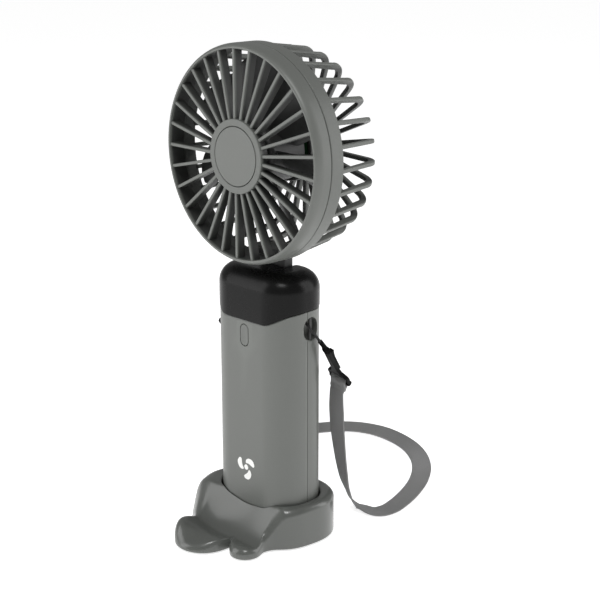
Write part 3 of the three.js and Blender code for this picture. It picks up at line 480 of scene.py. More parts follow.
# Direction the strap's upper face looks in, at fractions of its length.
STRAP_FACES = [
    (0, (0.08, 0.98, 0.2)), (0.06, (0.12, 0.98, 0.06)), (0.12, (0.3, 0.95, 0.1)), (0.16, (0.5, 0.8, 0.3)),
    (0.19, (0.2, 0.3, 0.9)), (0.22, (0, 0, 1)), (0.4, (-0.05, -0.05, 1)), (0.5, (-0.06, -0.2, 1)),
    (0.62, (0.1, -0.2, 1)), (0.74, (0, 0, 1)), (0.8, (-0.2, 0.3, 0.9)), (0.86, (-0.45, 0.8, 0.3)),
    (1, (-0.1, 0.97, 0.2)),
]
STRAP_STEPS = 312
STRAP_TAPER = 12.0  # the ribbon narrows over this length towards its folded ends
FLOOR_CLEARANCE = 0.1


def smooth_route(points, per_span=24):
    """Points along the centripetal Catmull-Rom curve through the given points."""
    points = [Vector(p) for p in points]
    points = [points[0] * 2 - points[1]] + points + [points[-1] * 2 - points[-2]]
    line = []
    for a, b, c, d in zip(points, points[1:], points[2:], points[3:]):
        t0, t1, t2 = (math.sqrt((q - p).length) for p, q in ((a, b), (b, c), (c, d)))
        leave = ((b - a) / t0 - (c - a) / (t0 + t1) + (c - b) / t1) * t1
        arrive = ((c - b) / t1 - (d - b) / (t1 + t2) + (d - c) / t2) * t1
        square, cube = c * 3 - b * 3 - leave * 2 - arrive, b * 2 - c * 2 + leave + arrive
        for i in range(per_span):
            t = i / per_span
            line.append(b + leave * t + square * t ** 2 + cube * t ** 3)
    return line + [points[-2]]


def evenly(line, steps):
    """The same line with points at even distances, and its length."""
    reach = [0.0]
    for p, q in zip(line, line[1:]):
        reach.append(reach[-1] + (q - p).length)
    spaced, k = [], 0
    for i in range(steps + 1):
        at = reach[-1] * i / steps
        while k < len(line) - 2 and reach[k + 1] < at:
            k += 1
        spaced.append(line[k].lerp(line[k + 1], (at - reach[k]) / (reach[k + 1] - reach[k])))
    return spaced, reach[-1]


def facing(t):
    k = max(1, next(i for i, (at, _) in enumerate(STRAP_FACES) if at >= t - 1e-9))
    (t0, a), (t1, b) = STRAP_FACES[k - 1], STRAP_FACES[k]
    return Vector(a).lerp(Vector(b), (t - t0) / (t1 - t0))


def map_along(obj, rows, columns, step_u, step_v):
    """A map for lofts: u along the rows and v across them, in millimetres."""
    layer = obj.data.uv_layers.new(name="along")
    for polygon in obj.data.polygons:
        corners = [obj.data.loops[k].vertex_index for k in polygon.loop_indices]
        wraps = max(c % columns for c in corners) - min(c % columns for c in corners) > 1
        for k, corner in zip(polygon.loop_indices, corners):
            row, column = divmod(corner, columns)
            if wraps and column == 0:
                column = columns
            layer.data[k].uv = (min(row, rows) * step_u, column * step_v)


# A section across the ribbon, flat with round selvedges: [across, through] as shares of its half sizes.
RIBBON_SECTION = [
    (-1, 0), (-0.985, -0.8), (-0.93, -1), (-0.86, -0.78), (-0.45, -0.74), (0, -0.72), (0.45, -0.74),
    (0.86, -0.78), (0.93, -1), (0.985, -0.8), (1, 0), (0.985, 0.8), (0.93, 1), (0.86, 0.78), (0.45, 0.74),
    (0, 0.72), (-0.45, 0.74), (-0.86, 0.78), (-0.93, 1), (-0.985, 0.8),
]


def ribbon_strap():
    line, length = evenly(smooth_route(STRAP_ROUTE), STRAP_STEPS)
    rings = []
    for i, p in enumerate(line):
        tangent = (line[min(i + 1, STRAP_STEPS)] - line[max(i - 1, 0)]).normalized()
        across = facing(i / STRAP_STEPS).cross(tangent).normalized()
        through = tangent.cross(across).normalized()
        from_end = length * min(i, STRAP_STEPS - i) / STRAP_STEPS
        width = STRAP_END_WIDTH + (STRAP_WIDTH - STRAP_END_WIDTH) * min(1, from_end / STRAP_TAPER)
        half, thin = width / 2, STRAP_THICKNESS / 2
        section = [p + across * (a * half) + through * (b * thin) for a, b in RIBBON_SECTION]
        lift = max(0, FLOOR_CLEARANCE - min(q.z for q in section))
        rings.append([q + Vector((0, 0, lift)) for q in section])
    strap = loft("wrist_strap", rings)
    around = len(RIBBON_SECTION)
    map_along(strap, STRAP_STEPS, around, length / STRAP_STEPS, 2 * STRAP_WIDTH / around)
    dress(strap, "handle", "strap_fabric", materials["ribbon"], "strap_ribbon", angle=60)
    return strap, line


strap, strap_line = ribbon_strap()

CLIPS = {
    "right": {
        "collar": (28.6, 8.6, 96.5), "crossbar": (22.6, 25.5, 75.8), "bar": (13.6, 1.1, -3.7), "drop": 5.0,
    },
    "left": {
        "collar": (-32.2, -2, 99.2), "crossbar": (-28.6, 16.9, 80.0), "bar": (-13.6, 1.1, -1.5), "drop": 5.6,
    },
}


def tube(name, path, radii, sides=12):
    """A round tube along a path, with its map; radii is one radius or one for each point."""
    if not isinstance(radii, list):
        radii = [radii] * len(path)
    rings = []
    across = None
    for i, (p, radius) in enumerate(zip(path, radii)):
        tangent = (path[min(i + 1, len(path) - 1)] - path[max(i - 1, 0)]).normalized()
        across = tangent.orthogonal() if across is None else across - tangent * across.dot(tangent)
        across = across.normalized()
        other = tangent.cross(across)
        rings.append([
            p + across * radius * math.cos(TAU * j / sides) + other * radius * math.sin(TAU * j / sides)
            for j in range(sides)
        ])
    obj = loft(name, rings)
    map_along(obj, len(path), sides, (path[1] - path[0]).length, TAU * radii[0] / sides)
    return obj


def eye_place(side):
    """The middle of the lanyard's eye pin on that side."""
    return Vector((EYE_X if side == "right" else -EYE_X, EYE_Y, EYE_Z))


def cord_loop(side, spec):
    """A thin cord doubled round the eye pin, its two ends gripped by the clip's collar."""
    start = eye_place(side)
    along = Vector(spec["collar"]) - start
    length = along.length - SLEEVE_LENGTH + 0.4
    along.normalize()
    across = along.cross(Vector((0, 0, 1))).normalized()
    bend, slope = 1.7, math.hypot(along.x, along.y)
    round_pin = []
    for i in range(17):
        a = math.pi / 2 + math.pi * i / 16
        round_pin.append((bend / slope * math.cos(a), bend * math.sin(a)))
    straight = [(length, 0.6), (length * 0.75, 0.85), (length * 0.5, 1.15), (length * 0.25, 1.5)]
    flat = [*straight, *round_pin, *((s, -t) for s, t in reversed(straight))]
    path = smooth_route([start + along * s + across * t for s, t in flat], 3)
    loop = tube(f"cord_loop_{side}_braid", path, CORD_RADIUS)
    return dress(loop, "handle", "cord_fabric", materials["cord"], f"cord_loop_{side}", angle=60)


def clip_place(spec):
    """The clip's own frame: x across it, y down it from the collar, z out of its face; and its length."""
    top, foot = Vector(spec["collar"]), Vector(spec["crossbar"])
    down = foot - top
    length = down.length
    down.normalize()
    face = down.cross(Vector(spec["bar"])).normalized()
    wide = face.cross(down).normalized()
    place = Matrix((wide, down, -face)).transposed().to_4x4()
    place.translation = top
    return place, length


def moved_to(obj, place):
    """Puts a shape drawn in a clip's frame into the object's frame."""
    shift = place.copy()
    shift.translation = place.translation * MM
    obj.data.transform(shift)
    return obj


SLEEVE_ROOT = 0.6  # how far the sleeve reaches into the collar


def crimped_sleeve(side, spec):
    """A ribbed sleeve crimped over the two ends of the cord."""
    top, steps, crimps = Vector(spec["collar"]), 48, 6
    along = (eye_place(side) - top).normalized()
    path, radii = [], []
    for i in range(steps + 1):
        path.append(top + along * (SLEEVE_LENGTH * (1 - i / steps) - SLEEVE_ROOT * i / steps))
        radii.append(SLEEVE_RADIUS - 0.17 * math.cos(TAU * crimps * i / steps) ** 2)
    radii[0] -= 0.25
    return tube("sleeve", path, radii, 16)


COLLAR_LENGTH = 3.2


def strap_clip(side, spec):
    place, length = clip_place(spec)
    half = CROSSBAR_LENGTH / 2
    plate = slab("plate", [
        (-1.6, 1), (1.6, 1), (1.6, 6), (1.8, length - 10), (2.8, length - 6.8), (half - 0.6, length - 5.4),
        (half, length - 4.4), (half, length - 0.4), (-half, length - 0.4), (-half, length - 4.4),
        (-half + 0.6, length - 5.4), (-2.8, length - 6.8), (-1.8, length - 10), (-1.6, 6),
    ], -1, 1)
    cut(plate, slab("slot", rectangle(1.1 - half, half - 1.1, length - 3.9, length + 3), -2, 2))
    bevelled(plate, 0.35)
    groove = slab("groove", rectangle(-0.9, 0.9, 4.6, length - 8.4), 0.55, 2)
    cut(plate, groove)
    # The collar is a short ribbed barrel.
    rings, steps = [], 28
    turns = [TAU * j / 24 for j in range(24)]
    for i in range(steps + 1):
        swell = 0.16 * math.cos(TAU * 4 * i / steps) - 0.35 * (1 - math.sin(math.pi * i / steps) ** 0.3)
        y = COLLAR_LENGTH * i / steps
        rings.append([((2.14 + swell) * math.cos(a), y, (1.34 + swell) * math.sin(a)) for a in turns])
    collar = loft("collar", rings)
    crossbar = rod("crossbar", (-half, length, 0), (half, length, 0), 1.1)
    knobs = []
    for s in (-1, 1):
        knob = rod("knob", (s * (half - 1.3), length, 0), (s * half, length, 0), 1.45)
        knobs.append(bevelled(knob, 0.4))
    body = moved_to(gather("clip", [plate, collar, crossbar, *knobs]), place)
    body = gather(f"clip_{side}_frame", [body, crimped_sleeve(side, spec)])
    dress(body, "handle", "clip_plastic", materials["clip"], f"clip_body_{side}")

    # The thumb lever rises to a ribbed pad at its collar end.
    top = []
    for i in range(25):
        y = 4.6 + (length - 12.6) * i / 24
        lift = 0.9 * max(0, 1 - i / 7) ** 1.5 + (0.12 * (i % 2) if i < 8 else 0)
        top.append((y, 2.2 + lift))
    outline = [(y, z) for y, z in top] + [(length - 8, 1.3), (4.6, 1.3)]
    lever = loft("lever", [[(x, y, z) for y, z in outline] for x in (-1.25, 1.25)])
    bevelled(lever, 0.18, 2, 60)
    lever = moved_to(gather(f"clip_{side}_lever", [lever]), place)
    dress(lever, f"clip_lever_{side}", "clip_plastic", materials["clip"], f"clip_lever_{side}")
    return body


def strap_fold(side, spec):
    """The ribbon's end: folded round the crossbar, with both layers sewn together below it."""
    foot, bar = Vector(spec["crossbar"]), Vector(spec["bar"]).normalized()
    out = Vector((bar.y, -bar.x, 0)).normalized()
    ribbon_end = Vector(STRAP_ROUTE[0 if side == "right" else -1])
    drift = Vector((ribbon_end.x - foot.x, ribbon_end.y - foot.y, 0)) / -spec["drop"]
    centre, inner, outer = [], 1.42, 2.3
    for i in range(25):
        a = -0.16 * math.pi + 1.32 * math.pi * i / 24
        centre.append((math.cos(a), math.sin(a)))
    loop_out = [(outer * c, outer * s) for c, s in centre]
    loop_in = [(inner * c, inner * s) for c, s in centre]
    drop = -spec["drop"]
    section = [(0.92, drop), (0.95, -3.4), (1.3, -2.3), *loop_out, (-1.3, -2.3), (-0.95, -3.4), (-0.92, drop)]
    section += [(-0.05, drop), (-0.05, -2.6), (-0.5, -1.9), *reversed(loop_in), (0.5, -1.9), (0.05, -2.6)]
    section.append((0.05, drop))
    shares = [-1, -0.97, -0.9, -0.5, 0, 0.5, 0.9, 0.97, 1]
    rings = []
    for share in shares:
        thin = 0.93 if abs(share) == 1 else 1
        base = foot + bar * (share * STRAP_END_WIDTH / 2)
        rings.append([base + out * (a * thin) + drift * min(0, b) + Vector((0, 0, b)) for a, b in section])
    fold = loft(f"strap_fold_{side}", rings)
    map_along(fold, len(shares), len(section), STRAP_END_WIDTH / (len(shares) - 1), 0.5)
    dress(fold, "handle", "strap_fabric", materials["ribbon"], f"strap_end_{side}", angle=50)

    # Two rows of stitches hold the layers, on both faces.
    stitches = []
    for row in (-3.0, -4.2):
        for face in (-1, 1):
            for i in range(7):
                s = (i + 0.5) / 7 * 2 - 1
                middle = foot + bar * (s * STRAP_END_WIDTH * 0.44) + out * (face * 0.96)
                middle += drift * row + Vector((0, 0, row))
                ends = [middle + bar * (e * 0.52) for e in (-1, -0.5, 0, 0.5, 1)]
                ends = [p - out * (face * 0.12 * abs(k - 2) ** 2 / 4) for k, p in enumerate(ends)]
                stitches.append(tube("stitch", ends, 0.16, 8))
    seam = gather(f"strap_stitches_{side}", stitches)
    dress(seam, "handle", "strap_fabric", materials["thread"], angle=60)
    return [fold, seam]


def lanyard():
    carried = []
    for side, spec in CLIPS.items():
        carried.append(cord_loop(side, spec))
        carried.append(strap_clip(side, spec))
        carried += strap_fold(side, spec)
        carried.append(bpy.data.objects[f"clip_{side}_lever"])
    return carried


# A flat cord's diameter is its width.
lanyard()


# ---------------------------------------------------------------- handle and cap
def handle_outline(inset, corner_steps=16, edge_steps=4):
    """The handle's outline, shrunk by an inset, as (x, y) points."""
    radius = HANDLE_CORNER - inset
    x, y = HANDLE_WIDTH / 2 - HANDLE_CORNER, HANDLE_DEPTH / 2 - HANDLE_CORNER
    corners = []
    for k, (cx, cy) in enumerate(((x, y), (-x, y), (-x, -y), (x, -y))):
        arc = [math.pi / 2 * (k + i / corner_steps) for i in range(corner_steps + 1)]
        corners.append([Vector((cx + radius * math.cos(a), cy + radius * math.sin(a))) for a in arc])
    outline = []
    for k, corner in enumerate(corners):
        following = corners[(k + 1) % 4][0]
        outline += corner + [corner[-1].lerp(following, i / edge_steps) for i in range(1, edge_steps)]
    return outline


def level(inset, z):
    """A ring of the outline; z is a height or a function of y."""
    return [(p.x, p.y, z(p.y) if callable(z) else z) for p in handle_outline(inset)]


def seam_height(y):
    return SEAM_FRONT_Z + SEAM_RISE * (1 - math.exp(-max(0, y + HANDLE_DEPTH / 2) / SEAM_RISE_OVER))


def quarter(steps=5):
    return [math.pi / 2 * i / steps for i in range(steps + 1)]


def pill(width, height, steps=12):
    """An upright slot outline with round ends, as (x, z) points about its middle."""
    r = min(width, height) / 2
    dx, dz = width / 2 - r, height / 2 - r
    points = []
    for k, (sx, sz) in enumerate(((1, 1), (-1, 1), (-1, -1), (1, -1))):
        for i in range(steps + 1):
            a = math.pi / 2 * (k + i / steps)
            points.append((sx * dx + r * math.cos(a), sz * dz + r * math.sin(a)))
    return points


def pill_block(name, width, height, z, y0, y1):
    return loft(name, [[(px, y, z + pz) for px, pz in pill(width, height)] for y in (y0, y1)])


SCREW_WELLS = [(-13, 13.2), (13, 13.2)]


def pocket_tool(side):
    """Cuts the lanyard pocket: a rounded opening whose wall curves in to its floor."""
    rings = []
    for x, swell in ((20.8, -0.6), (21.4, 0), (24.9, 0), (25.2, 0.15), (25.5, 0.6), (26.5, 1.6)):
        outline = pill(9.4 + 2 * swell, 10.8 + 2 * swell)
        rings.append([(side * x, EYE_Y + a, EYE_Z - 0.2 + b) for a, b in outline])
    return loft("pocket", rings)


def handle_shells():
    foot = [level(1.2 * (1 - math.sin(a)), HANDLE_FOOT_Z + 1.2 * (1 - math.cos(a))) for a in quarter()]
    brow = 0.5
    top = [
        level(brow * (1 - math.cos(a)), lambda y, a=a: seam_height(y) - 0.2 - brow * (1 - math.sin(a)))
        for a in quarter()
    ]
    ledge = [level(LIP_INSET, lambda y: seam_height(y) - 0.2), level(LIP_INSET, LIP_TOP_Z)]
    solid = loft("handle", foot + [level(0, z) for z in (14, 30, 60, 90, 98)] + top + ledge)
    inner = LIP_INSET + 1.6
    cavity = loft("cavity", [
        level(HANDLE_WALL, HANDLE_FOOT_Z + HANDLE_WALL), level(HANDLE_WALL, 98), level(inner, 99),
        level(inner, LIP_TOP_Z + 1),
    ])
    cut(solid, cavity)
    bosses, pockets = [], []
    for side in (-1, 1):
        xs = sorted((side * 19, side * 23.4))
        boss = box(f"boss_{side}", xs, (-6, 11.5), (99.6, 112))
        bosses.append(keep(boss, loft("inside", [level(0.6, 98), level(0.6, 114)])))
        pockets += [
            pocket_tool(side),
            rod("pin_hole", (side * EYE_X, EYE_Y, EYE_Z - 6.4), (side * EYE_X, EYE_Y, EYE_Z + 6.2), 1.05),
        ]
    add(solid, *bosses)
    button_hole = pill_block("button_hole", BUTTON_WIDTH + 0.7, BUTTON_HEIGHT + 0.7, BUTTON_Z, -20, -12)
    usb_hole = pill_block("usb_hole", USB_WIDTH + 0.7, USB_HEIGHT + 0.7, USB_Z, 12, 20)
    cut(solid, *pockets, button_hole, usb_hole)
    rear = linked("handle_rear", solid.data.copy())
    solid.name = "handle_front"
    keep(solid, box("front_half", (-40, 40), (-40, -GAP / 2), (0, 140)))
    keep(rear, box("rear_half", (-40, 40), (GAP / 2, 40), (0, 140)))
    cut(rear, *[rod("well", (x, 11.2, z), (x, 20, z), 2.1) for x, z in SCREW_WELLS])
    for half, node in ((solid, "handle_front_shell"), (rear, "handle_rear_shell")):
        dress(bevelled(half, 0.12, 2, 50), "handle", "shell_grey", materials["shell"], node)


handle_shells()


def power_button():
    """A button almost flush with the handle, with a slightly dished face."""
    face = -HANDLE_DEPTH / 2 - 0.1
    rings = [[(a, -13.8, BUTTON_Z + b) for a, b in pill(BUTTON_WIDTH, BUTTON_HEIGHT)]]
    for angle in quarter(4):
        inset = 0.7 * (1 - math.cos(angle))
        outline = pill(BUTTON_WIDTH - inset, BUTTON_HEIGHT - inset)
        rings.append([(a, face + 0.35 * (1 - math.sin(angle)), BUTTON_Z + b) for a, b in outline])
    for shrink, dish in ((1.6, 0.03), (2.8, 0.1), (4.2, 0.14)):
        outline = pill(BUTTON_WIDTH - shrink, BUTTON_HEIGHT - shrink)
        rings.append([(a, face + dish, BUTTON_Z + b) for a, b in outline])
    dress(loft("power_button_cap", rings), "power_button", "shell_grey", materials["shell"], "power_button")


power_button()


def fan_sign():
    """A printed pictogram of three blades round a hub, low on the front."""
    front, thickness = -HANDLE_DEPTH / 2 - 0.01, 0.05
    parts = []

    def plate(points):
        parts.append(loft("ink", [[(x, y, z) for x, z in points] for y in (front, front - thickness)]))

    middle_x, middle_z = SIGN_PLACE
    turns = [TAU * i / 28 for i in range(28)]
    plate([(middle_x + SIGN_HUB * math.cos(a), middle_z + SIGN_HUB * math.sin(a)) for a in turns])
    root = SIGN_HUB + 0.7

    def edge(turn, t, spread):
        """A point of a blade's edge, at the share t of the blade's length."""
        r = root + (SIGN_RADIUS - root) * t
        a = TAU * turn / 3 + 0.9 * t + spread * math.sin(math.pi * t) ** 0.5
        return middle_x + r * math.sin(a), middle_z + r * math.cos(a)

    for turn in range(3):
        leading = [edge(turn, i / 32, SIGN_BLADE_SPREAD) for i in range(33)]
        plate(leading + [edge(turn, i / 32, -0.35) for i in range(31, 0, -1)])
    dress(gather("front_sign", parts), "handle", "shell_grey", materials["print"])


SIGN_PLACE, SIGN_RADIUS, SIGN_HUB, SIGN_BLADE_SPREAD = (0.3, 35.5), 6.3, 1.35, 0.8
fan_sign()


CAP_EDGE = 0.5  # rounding of the cap's lower edge


def neck_cap():
    def dome(name, extra, top, foot):
        rings = []
        for a in quarter(3):
            lift = CAP_EDGE * (1 - math.cos(a))
            rings.append(level(extra + CAP_EDGE * (1 - math.sin(a)), lambda y: foot(y) + lift))
        rings += [level(extra, z) for z in (118, 121)]
        for a in quarter(14):
            inset = extra + CAP_ROUND * (1 - math.cos(a))
            rings.append(level(inset, top - CAP_ROUND + CAP_ROUND * math.sin(a)))
        return loft(name, rings)

    cap = dome("cap_shell", -CAP_OVERHANG, CAP_TOP_Z, lambda y: seam_height(y) + 0.2)
    cut(cap, dome("cap_inside", CAP_WALL - CAP_OVERHANG, CAP_TOP_Z - CAP_WALL, lambda y: 100))
    side, low = NECK_HALF_WIDTH + 0.8, HINGE_Z - BARREL_RADIUS - 0.3
    cut(cap, box("hinge_slot", (-side, side), (HINGE_Y - BARREL_RADIUS - 0.6, 30), (low, 150)))
    bevelled(cap, 0.3, 3, 50)
    dress(cap, "handle", "cap_black", materials["cap"], "neck_cap")


neck_cap()


def neck_arm():
    """The arm that carries the head: a barrel on the hinge pin and a block under the rear shell."""
    bore = rod("bore", (-20, HINGE_Y, HINGE_Z), (20, HINGE_Y, HINGE_Z), PIN_RADIUS + GAP)
    ends = [(x, HINGE_Y, HINGE_Z) for x in (-NECK_HALF_WIDTH, NECK_HALF_WIDTH)]
    arm = rod("arm", *ends, BARREL_RADIUS, 48)
    width, depth = (-NECK_HALF_WIDTH, NECK_HALF_WIDTH), (HINGE_Y - 3.3, HINGE_Y + 1.7)
    add(arm, box("block", width, depth, (HINGE_Z, NECK_TOP_Z)))
    holes = [rod("hole", (x, NECK_SCREW_Y, 129.9), (x, NECK_SCREW_Y, 140), 1.1) for x in NECK_SCREW_X]
    cut(arm, bore, *holes)
    bevelled(arm, 0.35, 3, 45)
    arm.name = "neck_block"
    dress(arm, "head", "dark_plastic", materials["dark"], "neck_arm")


neck_arm()


# ---------------------------------------------------------------- head
def rounded_profile(corners, radius, steps=5):
    """A closed [radius, y] profile with its corners rounded."""
    points, count = [], len(corners)
    for i, corner in enumerate(corners):
        corner = Vector(corner)
        before, after = Vector(corners[i - 1]) - corner, Vector(corners[(i + 1) % count]) - corner
        reach = min(radius, before.length * 0.45, after.length * 0.45)
        a, b = corner + before.normalized() * reach, corner + after.normalized() * reach
        for k in range(steps + 1):
            t = k / steps
            points.append(a * (1 - t) ** 2 + corner * 2 * t * (1 - t) + b * t ** 2)
    return [(p.x, p.y) for p in points]


def front_grille():
    wide, deep, brow = 2.0, 4.6, []
    for a in quarter(9):
        brow.append((HEAD_RADIUS - wide * (1 - math.sin(a)), HEAD_FRONT_Y + deep * (1 - math.cos(a))))
    edge = [(HEAD_RADIUS, SHELL_SEAM_Y - GAP / 2 - 0.3), (HEAD_RADIUS - 0.3, SHELL_SEAM_Y - GAP / 2)]
    inner = [(OPENING_RADIUS, SHELL_SEAM_Y - GAP / 2), (OPENING_RADIUS, HEAD_FRONT_Y + 0.4)]
    ring = turned("ring", [*brow, *edge, *inner, (OPENING_RADIUS + 0.15, HEAD_FRONT_Y + 0.1)], 160)
    hub = turned("hub", rounded_profile([
        (0.01, -19.7), (BADGE_RADIUS + 0.3, -19.7), (BADGE_RADIUS + 0.3, -20.6), (HUB_RADIUS, -20.6),
        (HUB_RADIUS, -16), (HUB_RADIUS - 1.6, -16), (HUB_RADIUS - 1.6, -18.2), (0.01, -18.2),
    ], 0.5), 120)
    outline = [
        (HUB_RADIUS - 1, -19.9), (OPENING_RADIUS + 0.8, HEAD_FRONT_Y + 0.6), (OPENING_RADIUS + 0.8, -13.4),
        (HUB_RADIUS - 1, -15.4),
    ]
    spokes = [fin("spoke", outline, SPOKE_WIDTH, SPOKE_TURN + TAU * i / SPOKES) for i in range(SPOKES)]
    spokes = bevelled(gather("spokes", spokes), 0.4, 3)
    cage = gather("front_cage", [ring, hub, spokes])
    dress(cage, "head", "shell_grey", materials["cage"], "front_grille")
    disc = turned("badge_disc", rounded_profile([
        (0.01, -20.6), (BADGE_RADIUS, -20.6), (BADGE_RADIUS, -20), (0.01, -20),
    ], 0.25), 120)
    dress(disc, "head", "shell_grey", materials["badge"], "hub_badge")


front_grille()


def rear_grille():
    band = turned("band", rounded_profile([
        (HEAD_RADIUS - 2.1, SHELL_SEAM_Y + GAP / 2), (HEAD_RADIUS, SHELL_SEAM_Y + GAP / 2),
        (HEAD_RADIUS, BAND_REAR_Y), (HEAD_RADIUS - 2.1, BAND_REAR_Y),
    ], 0.5), 160)
    hub = turned("rear_hub", rounded_profile([
        (3.4, 1), (4.2, 1), (4.2, CAGE_REAR_Y - 2), (REAR_HUB_RADIUS - 2, CAGE_REAR_Y - 2),
        (REAR_HUB_RADIUS - 2, 12), (REAR_HUB_RADIUS, 12), (REAR_HUB_RADIUS, CAGE_REAR_Y),
        (0.01, CAGE_REAR_Y), (0.01, CAGE_REAR_Y - 2), (3.4, CAGE_REAR_Y - 2),
    ], 0.7), 96)

    def elbow(radius):
        out_r, out_y = RIB_OUTER_RADIUS - RIB_BEND, CAGE_REAR_Y - RIB_BEND
        return [(out_r + radius * math.cos(a), out_y + radius * math.sin(a)) for a in quarter(10)]

    foot_y = BAND_REAR_Y - 1.5
    outline = [(HEAD_RADIUS - 0.2, foot_y), *elbow(RIB_BEND), (REAR_HUB_RADIUS - 1, CAGE_REAR_Y)]
    outline += [(REAR_HUB_RADIUS - 1, CAGE_REAR_Y - RIB_DEPTH), *reversed(elbow(RIB_BEND - RIB_DEPTH))]
    outline += [(HEAD_RADIUS - RIB_DEPTH + 0.7, foot_y)]
    ribs = [fin("rib", outline, RIB_WIDTH, math.pi + TAU * i / SPOKES) for i in range(SPOKES)]
    ribs = bevelled(gather("ribs", ribs), 0.55, 3)
    boss = box("boss", (-9.5, 9.5), (BAND_REAR_Y - 1, 9), (NECK_TOP_Z + GAP, 142.2))
    bevelled(boss, 0.8, 3)
    holes = []
    for x in NECK_SCREW_X:
        holes.append(rod("hole", (x, NECK_SCREW_Y, 130), (x, NECK_SCREW_Y, 145), 1.1))
        holes.append(rod("hole", (x, NECK_SCREW_Y, 140.1), (x, NECK_SCREW_Y, 145), 1.9))
    cut(boss, *holes)
    cage = gather("rear_cage", [band, hub, ribs, boss])
    dress(cage, "head", "shell_grey", materials["cage"], "rear_grille")


rear_grille()


def blade(turn, stations=14, across_steps=14):
    """One cambered blade with round edges."""
    rings = []
    for i in range(stations + 1):
        t = i / stations
        radius = IMPELLER_HUB_RADIUS - 0.8 + (BLADE_TIP_RADIUS - IMPELLER_HUB_RADIUS + 0.8) * t
        half_chord = 9 + 4 * math.sin(t * math.pi / 2)
        tip = max(0, t - 0.86) / 0.14
        half_chord *= math.sqrt(max(0.05, 1 - 0.55 * tip ** 2))
        pitch = math.radians(50 - 20 * t)

        def point(s, offset):
            across = s * half_chord
            camber = 1.8 * (1 - s * s) + offset
            y = across * math.sin(pitch) - camber * math.cos(pitch)
            sweep = turn + (across * math.cos(pitch) + camber * math.sin(pitch)) / radius
            return radius * math.sin(sweep), y - 0.6, HEAD_Z + radius * math.cos(sweep)

        ring = []
        for side in (1, -1):
            for k in range(across_steps + 1):
                s = side * (2 * k / across_steps - 1)
                ring.append(point(s, side * 0.6 * math.sqrt(max(0.02, 1 - s ** 8))))
        rings.append(ring)
    return loft("blade", rings)


def impeller():
    hub = turned("impeller_hub", rounded_profile([
        (1.5, -11), (8, -12.4), (12.6, -11.6), (IMPELLER_HUB_RADIUS, -9.6), (IMPELLER_HUB_RADIUS, 10),
        (IMPELLER_HUB_RADIUS - 1.6, 10), (IMPELLER_HUB_RADIUS - 1.6, -4.6), (1.5, -4.6),
    ], 1.0), 96)
    blades = [blade(TAU * i / BLADES) for i in range(BLADES)]
    wheel = gather("impeller_blades", [hub, *blades])
    dress(wheel, "rotor", "impeller_grey", materials["impeller"], "impeller")


impeller()

# ---------------------------------------------------------------- stand
LOBES = [
    (12.8, 4.5, 18.8), (13.5, -5, 16.8), (12, -20, 9.4), (-15, 1, 17.6), (-18, -11.6, 18.2), (3, -14, 16.5),
    (-14.5, -26, 10), (-8.6, -36.3, 14), (15.5, -31.5, 7.4), (-1, 2.5, 18.6),
]
MELT = 1.6


def outline_radius(angle, inset=0.0):
    """Distance from the middle to the stand's outline, where its round lobes melt together."""
    inside, outside = 10.0, 70.0
    for _ in range(30):
        middle = (inside + outside) / 2
        x, y = middle * math.cos(angle), middle * math.sin(angle)
        total = sum(math.exp(-(math.hypot(x - cx, y - cy) - r) / MELT) for cx, cy, r in LOBES)
        if -MELT * math.log(total) + inset < 0:
            inside = middle
        else:
            outside = middle
    return inside


def soft_max(a, b, k):
    return max(a, b) + k * math.log(1 + math.exp(-abs(a - b) / k))


def soft_min(a, b, k):
    return -soft_max(-a, -b, k)


def stand_top(x, y):
    """Height of the stand's top: the rim, the hollow slope of the rest, the trough and the two toes."""
    trough = TROUGH_Z + TROUGH_RISE * math.exp(-((x + 26) / 8) ** 2)
    start = REST_TOP_Y - CHEEK_LEAD / (1 + math.exp((x + 17) / 6))
    rim = RIM_Z - RIM_DIP * math.exp(-((x - 1) / 12) ** 2 - ((y + 18) / 7) ** 2)
    slope = trough + (rim - trough) * max(0, 1 - (start - y) / REST_RUN) ** 2
    rest = soft_min(rim, slope, REST_BLEND)
    ridge_y = -36 - 2.5 * math.tanh((5 - x) / 4)
    ridge_z = SMALL_TOE_Z + LARGE_TOE_RISE * math.exp(-((x + 22) / 11) ** 2)
    toe_top = ridge_z - TOE_CROWN * (y - ridge_y) ** 2
    toes = soft_min(toe_top, trough - TOE_SLOPE * (y - TOE_INNER_Y), 1.6)
    return soft_max(soft_max(rest, toes, 0.7), trough, 0.4)


def edge_round(x, y):
    left_side = 6.5 * math.exp(-((x + 32) / 13) ** 2 - ((y + 20) / 12) ** 2)
    right_front = 1.4 * math.exp(-((x - 25) / 9) ** 2 - ((y + 16) / 9) ** 2)
    large_toe = 3 * math.exp(-((x + 20) / 11) ** 2 - ((y + 42) / 12) ** 2)
    return 3 + left_side + right_front + large_toe


FRONT_LINES = [
    -14.6, -15, -15.4, -15.8, -16.2, -16.8, -17.6, -18.6, -19.6, -20.8, -22, -23.4, -24.8, -26.2, -27.6, -29,
    -30.2, -31.4, -32.6, -33.8, -35, -36.2, -37.4, -38.8, -40.4, -42,
]


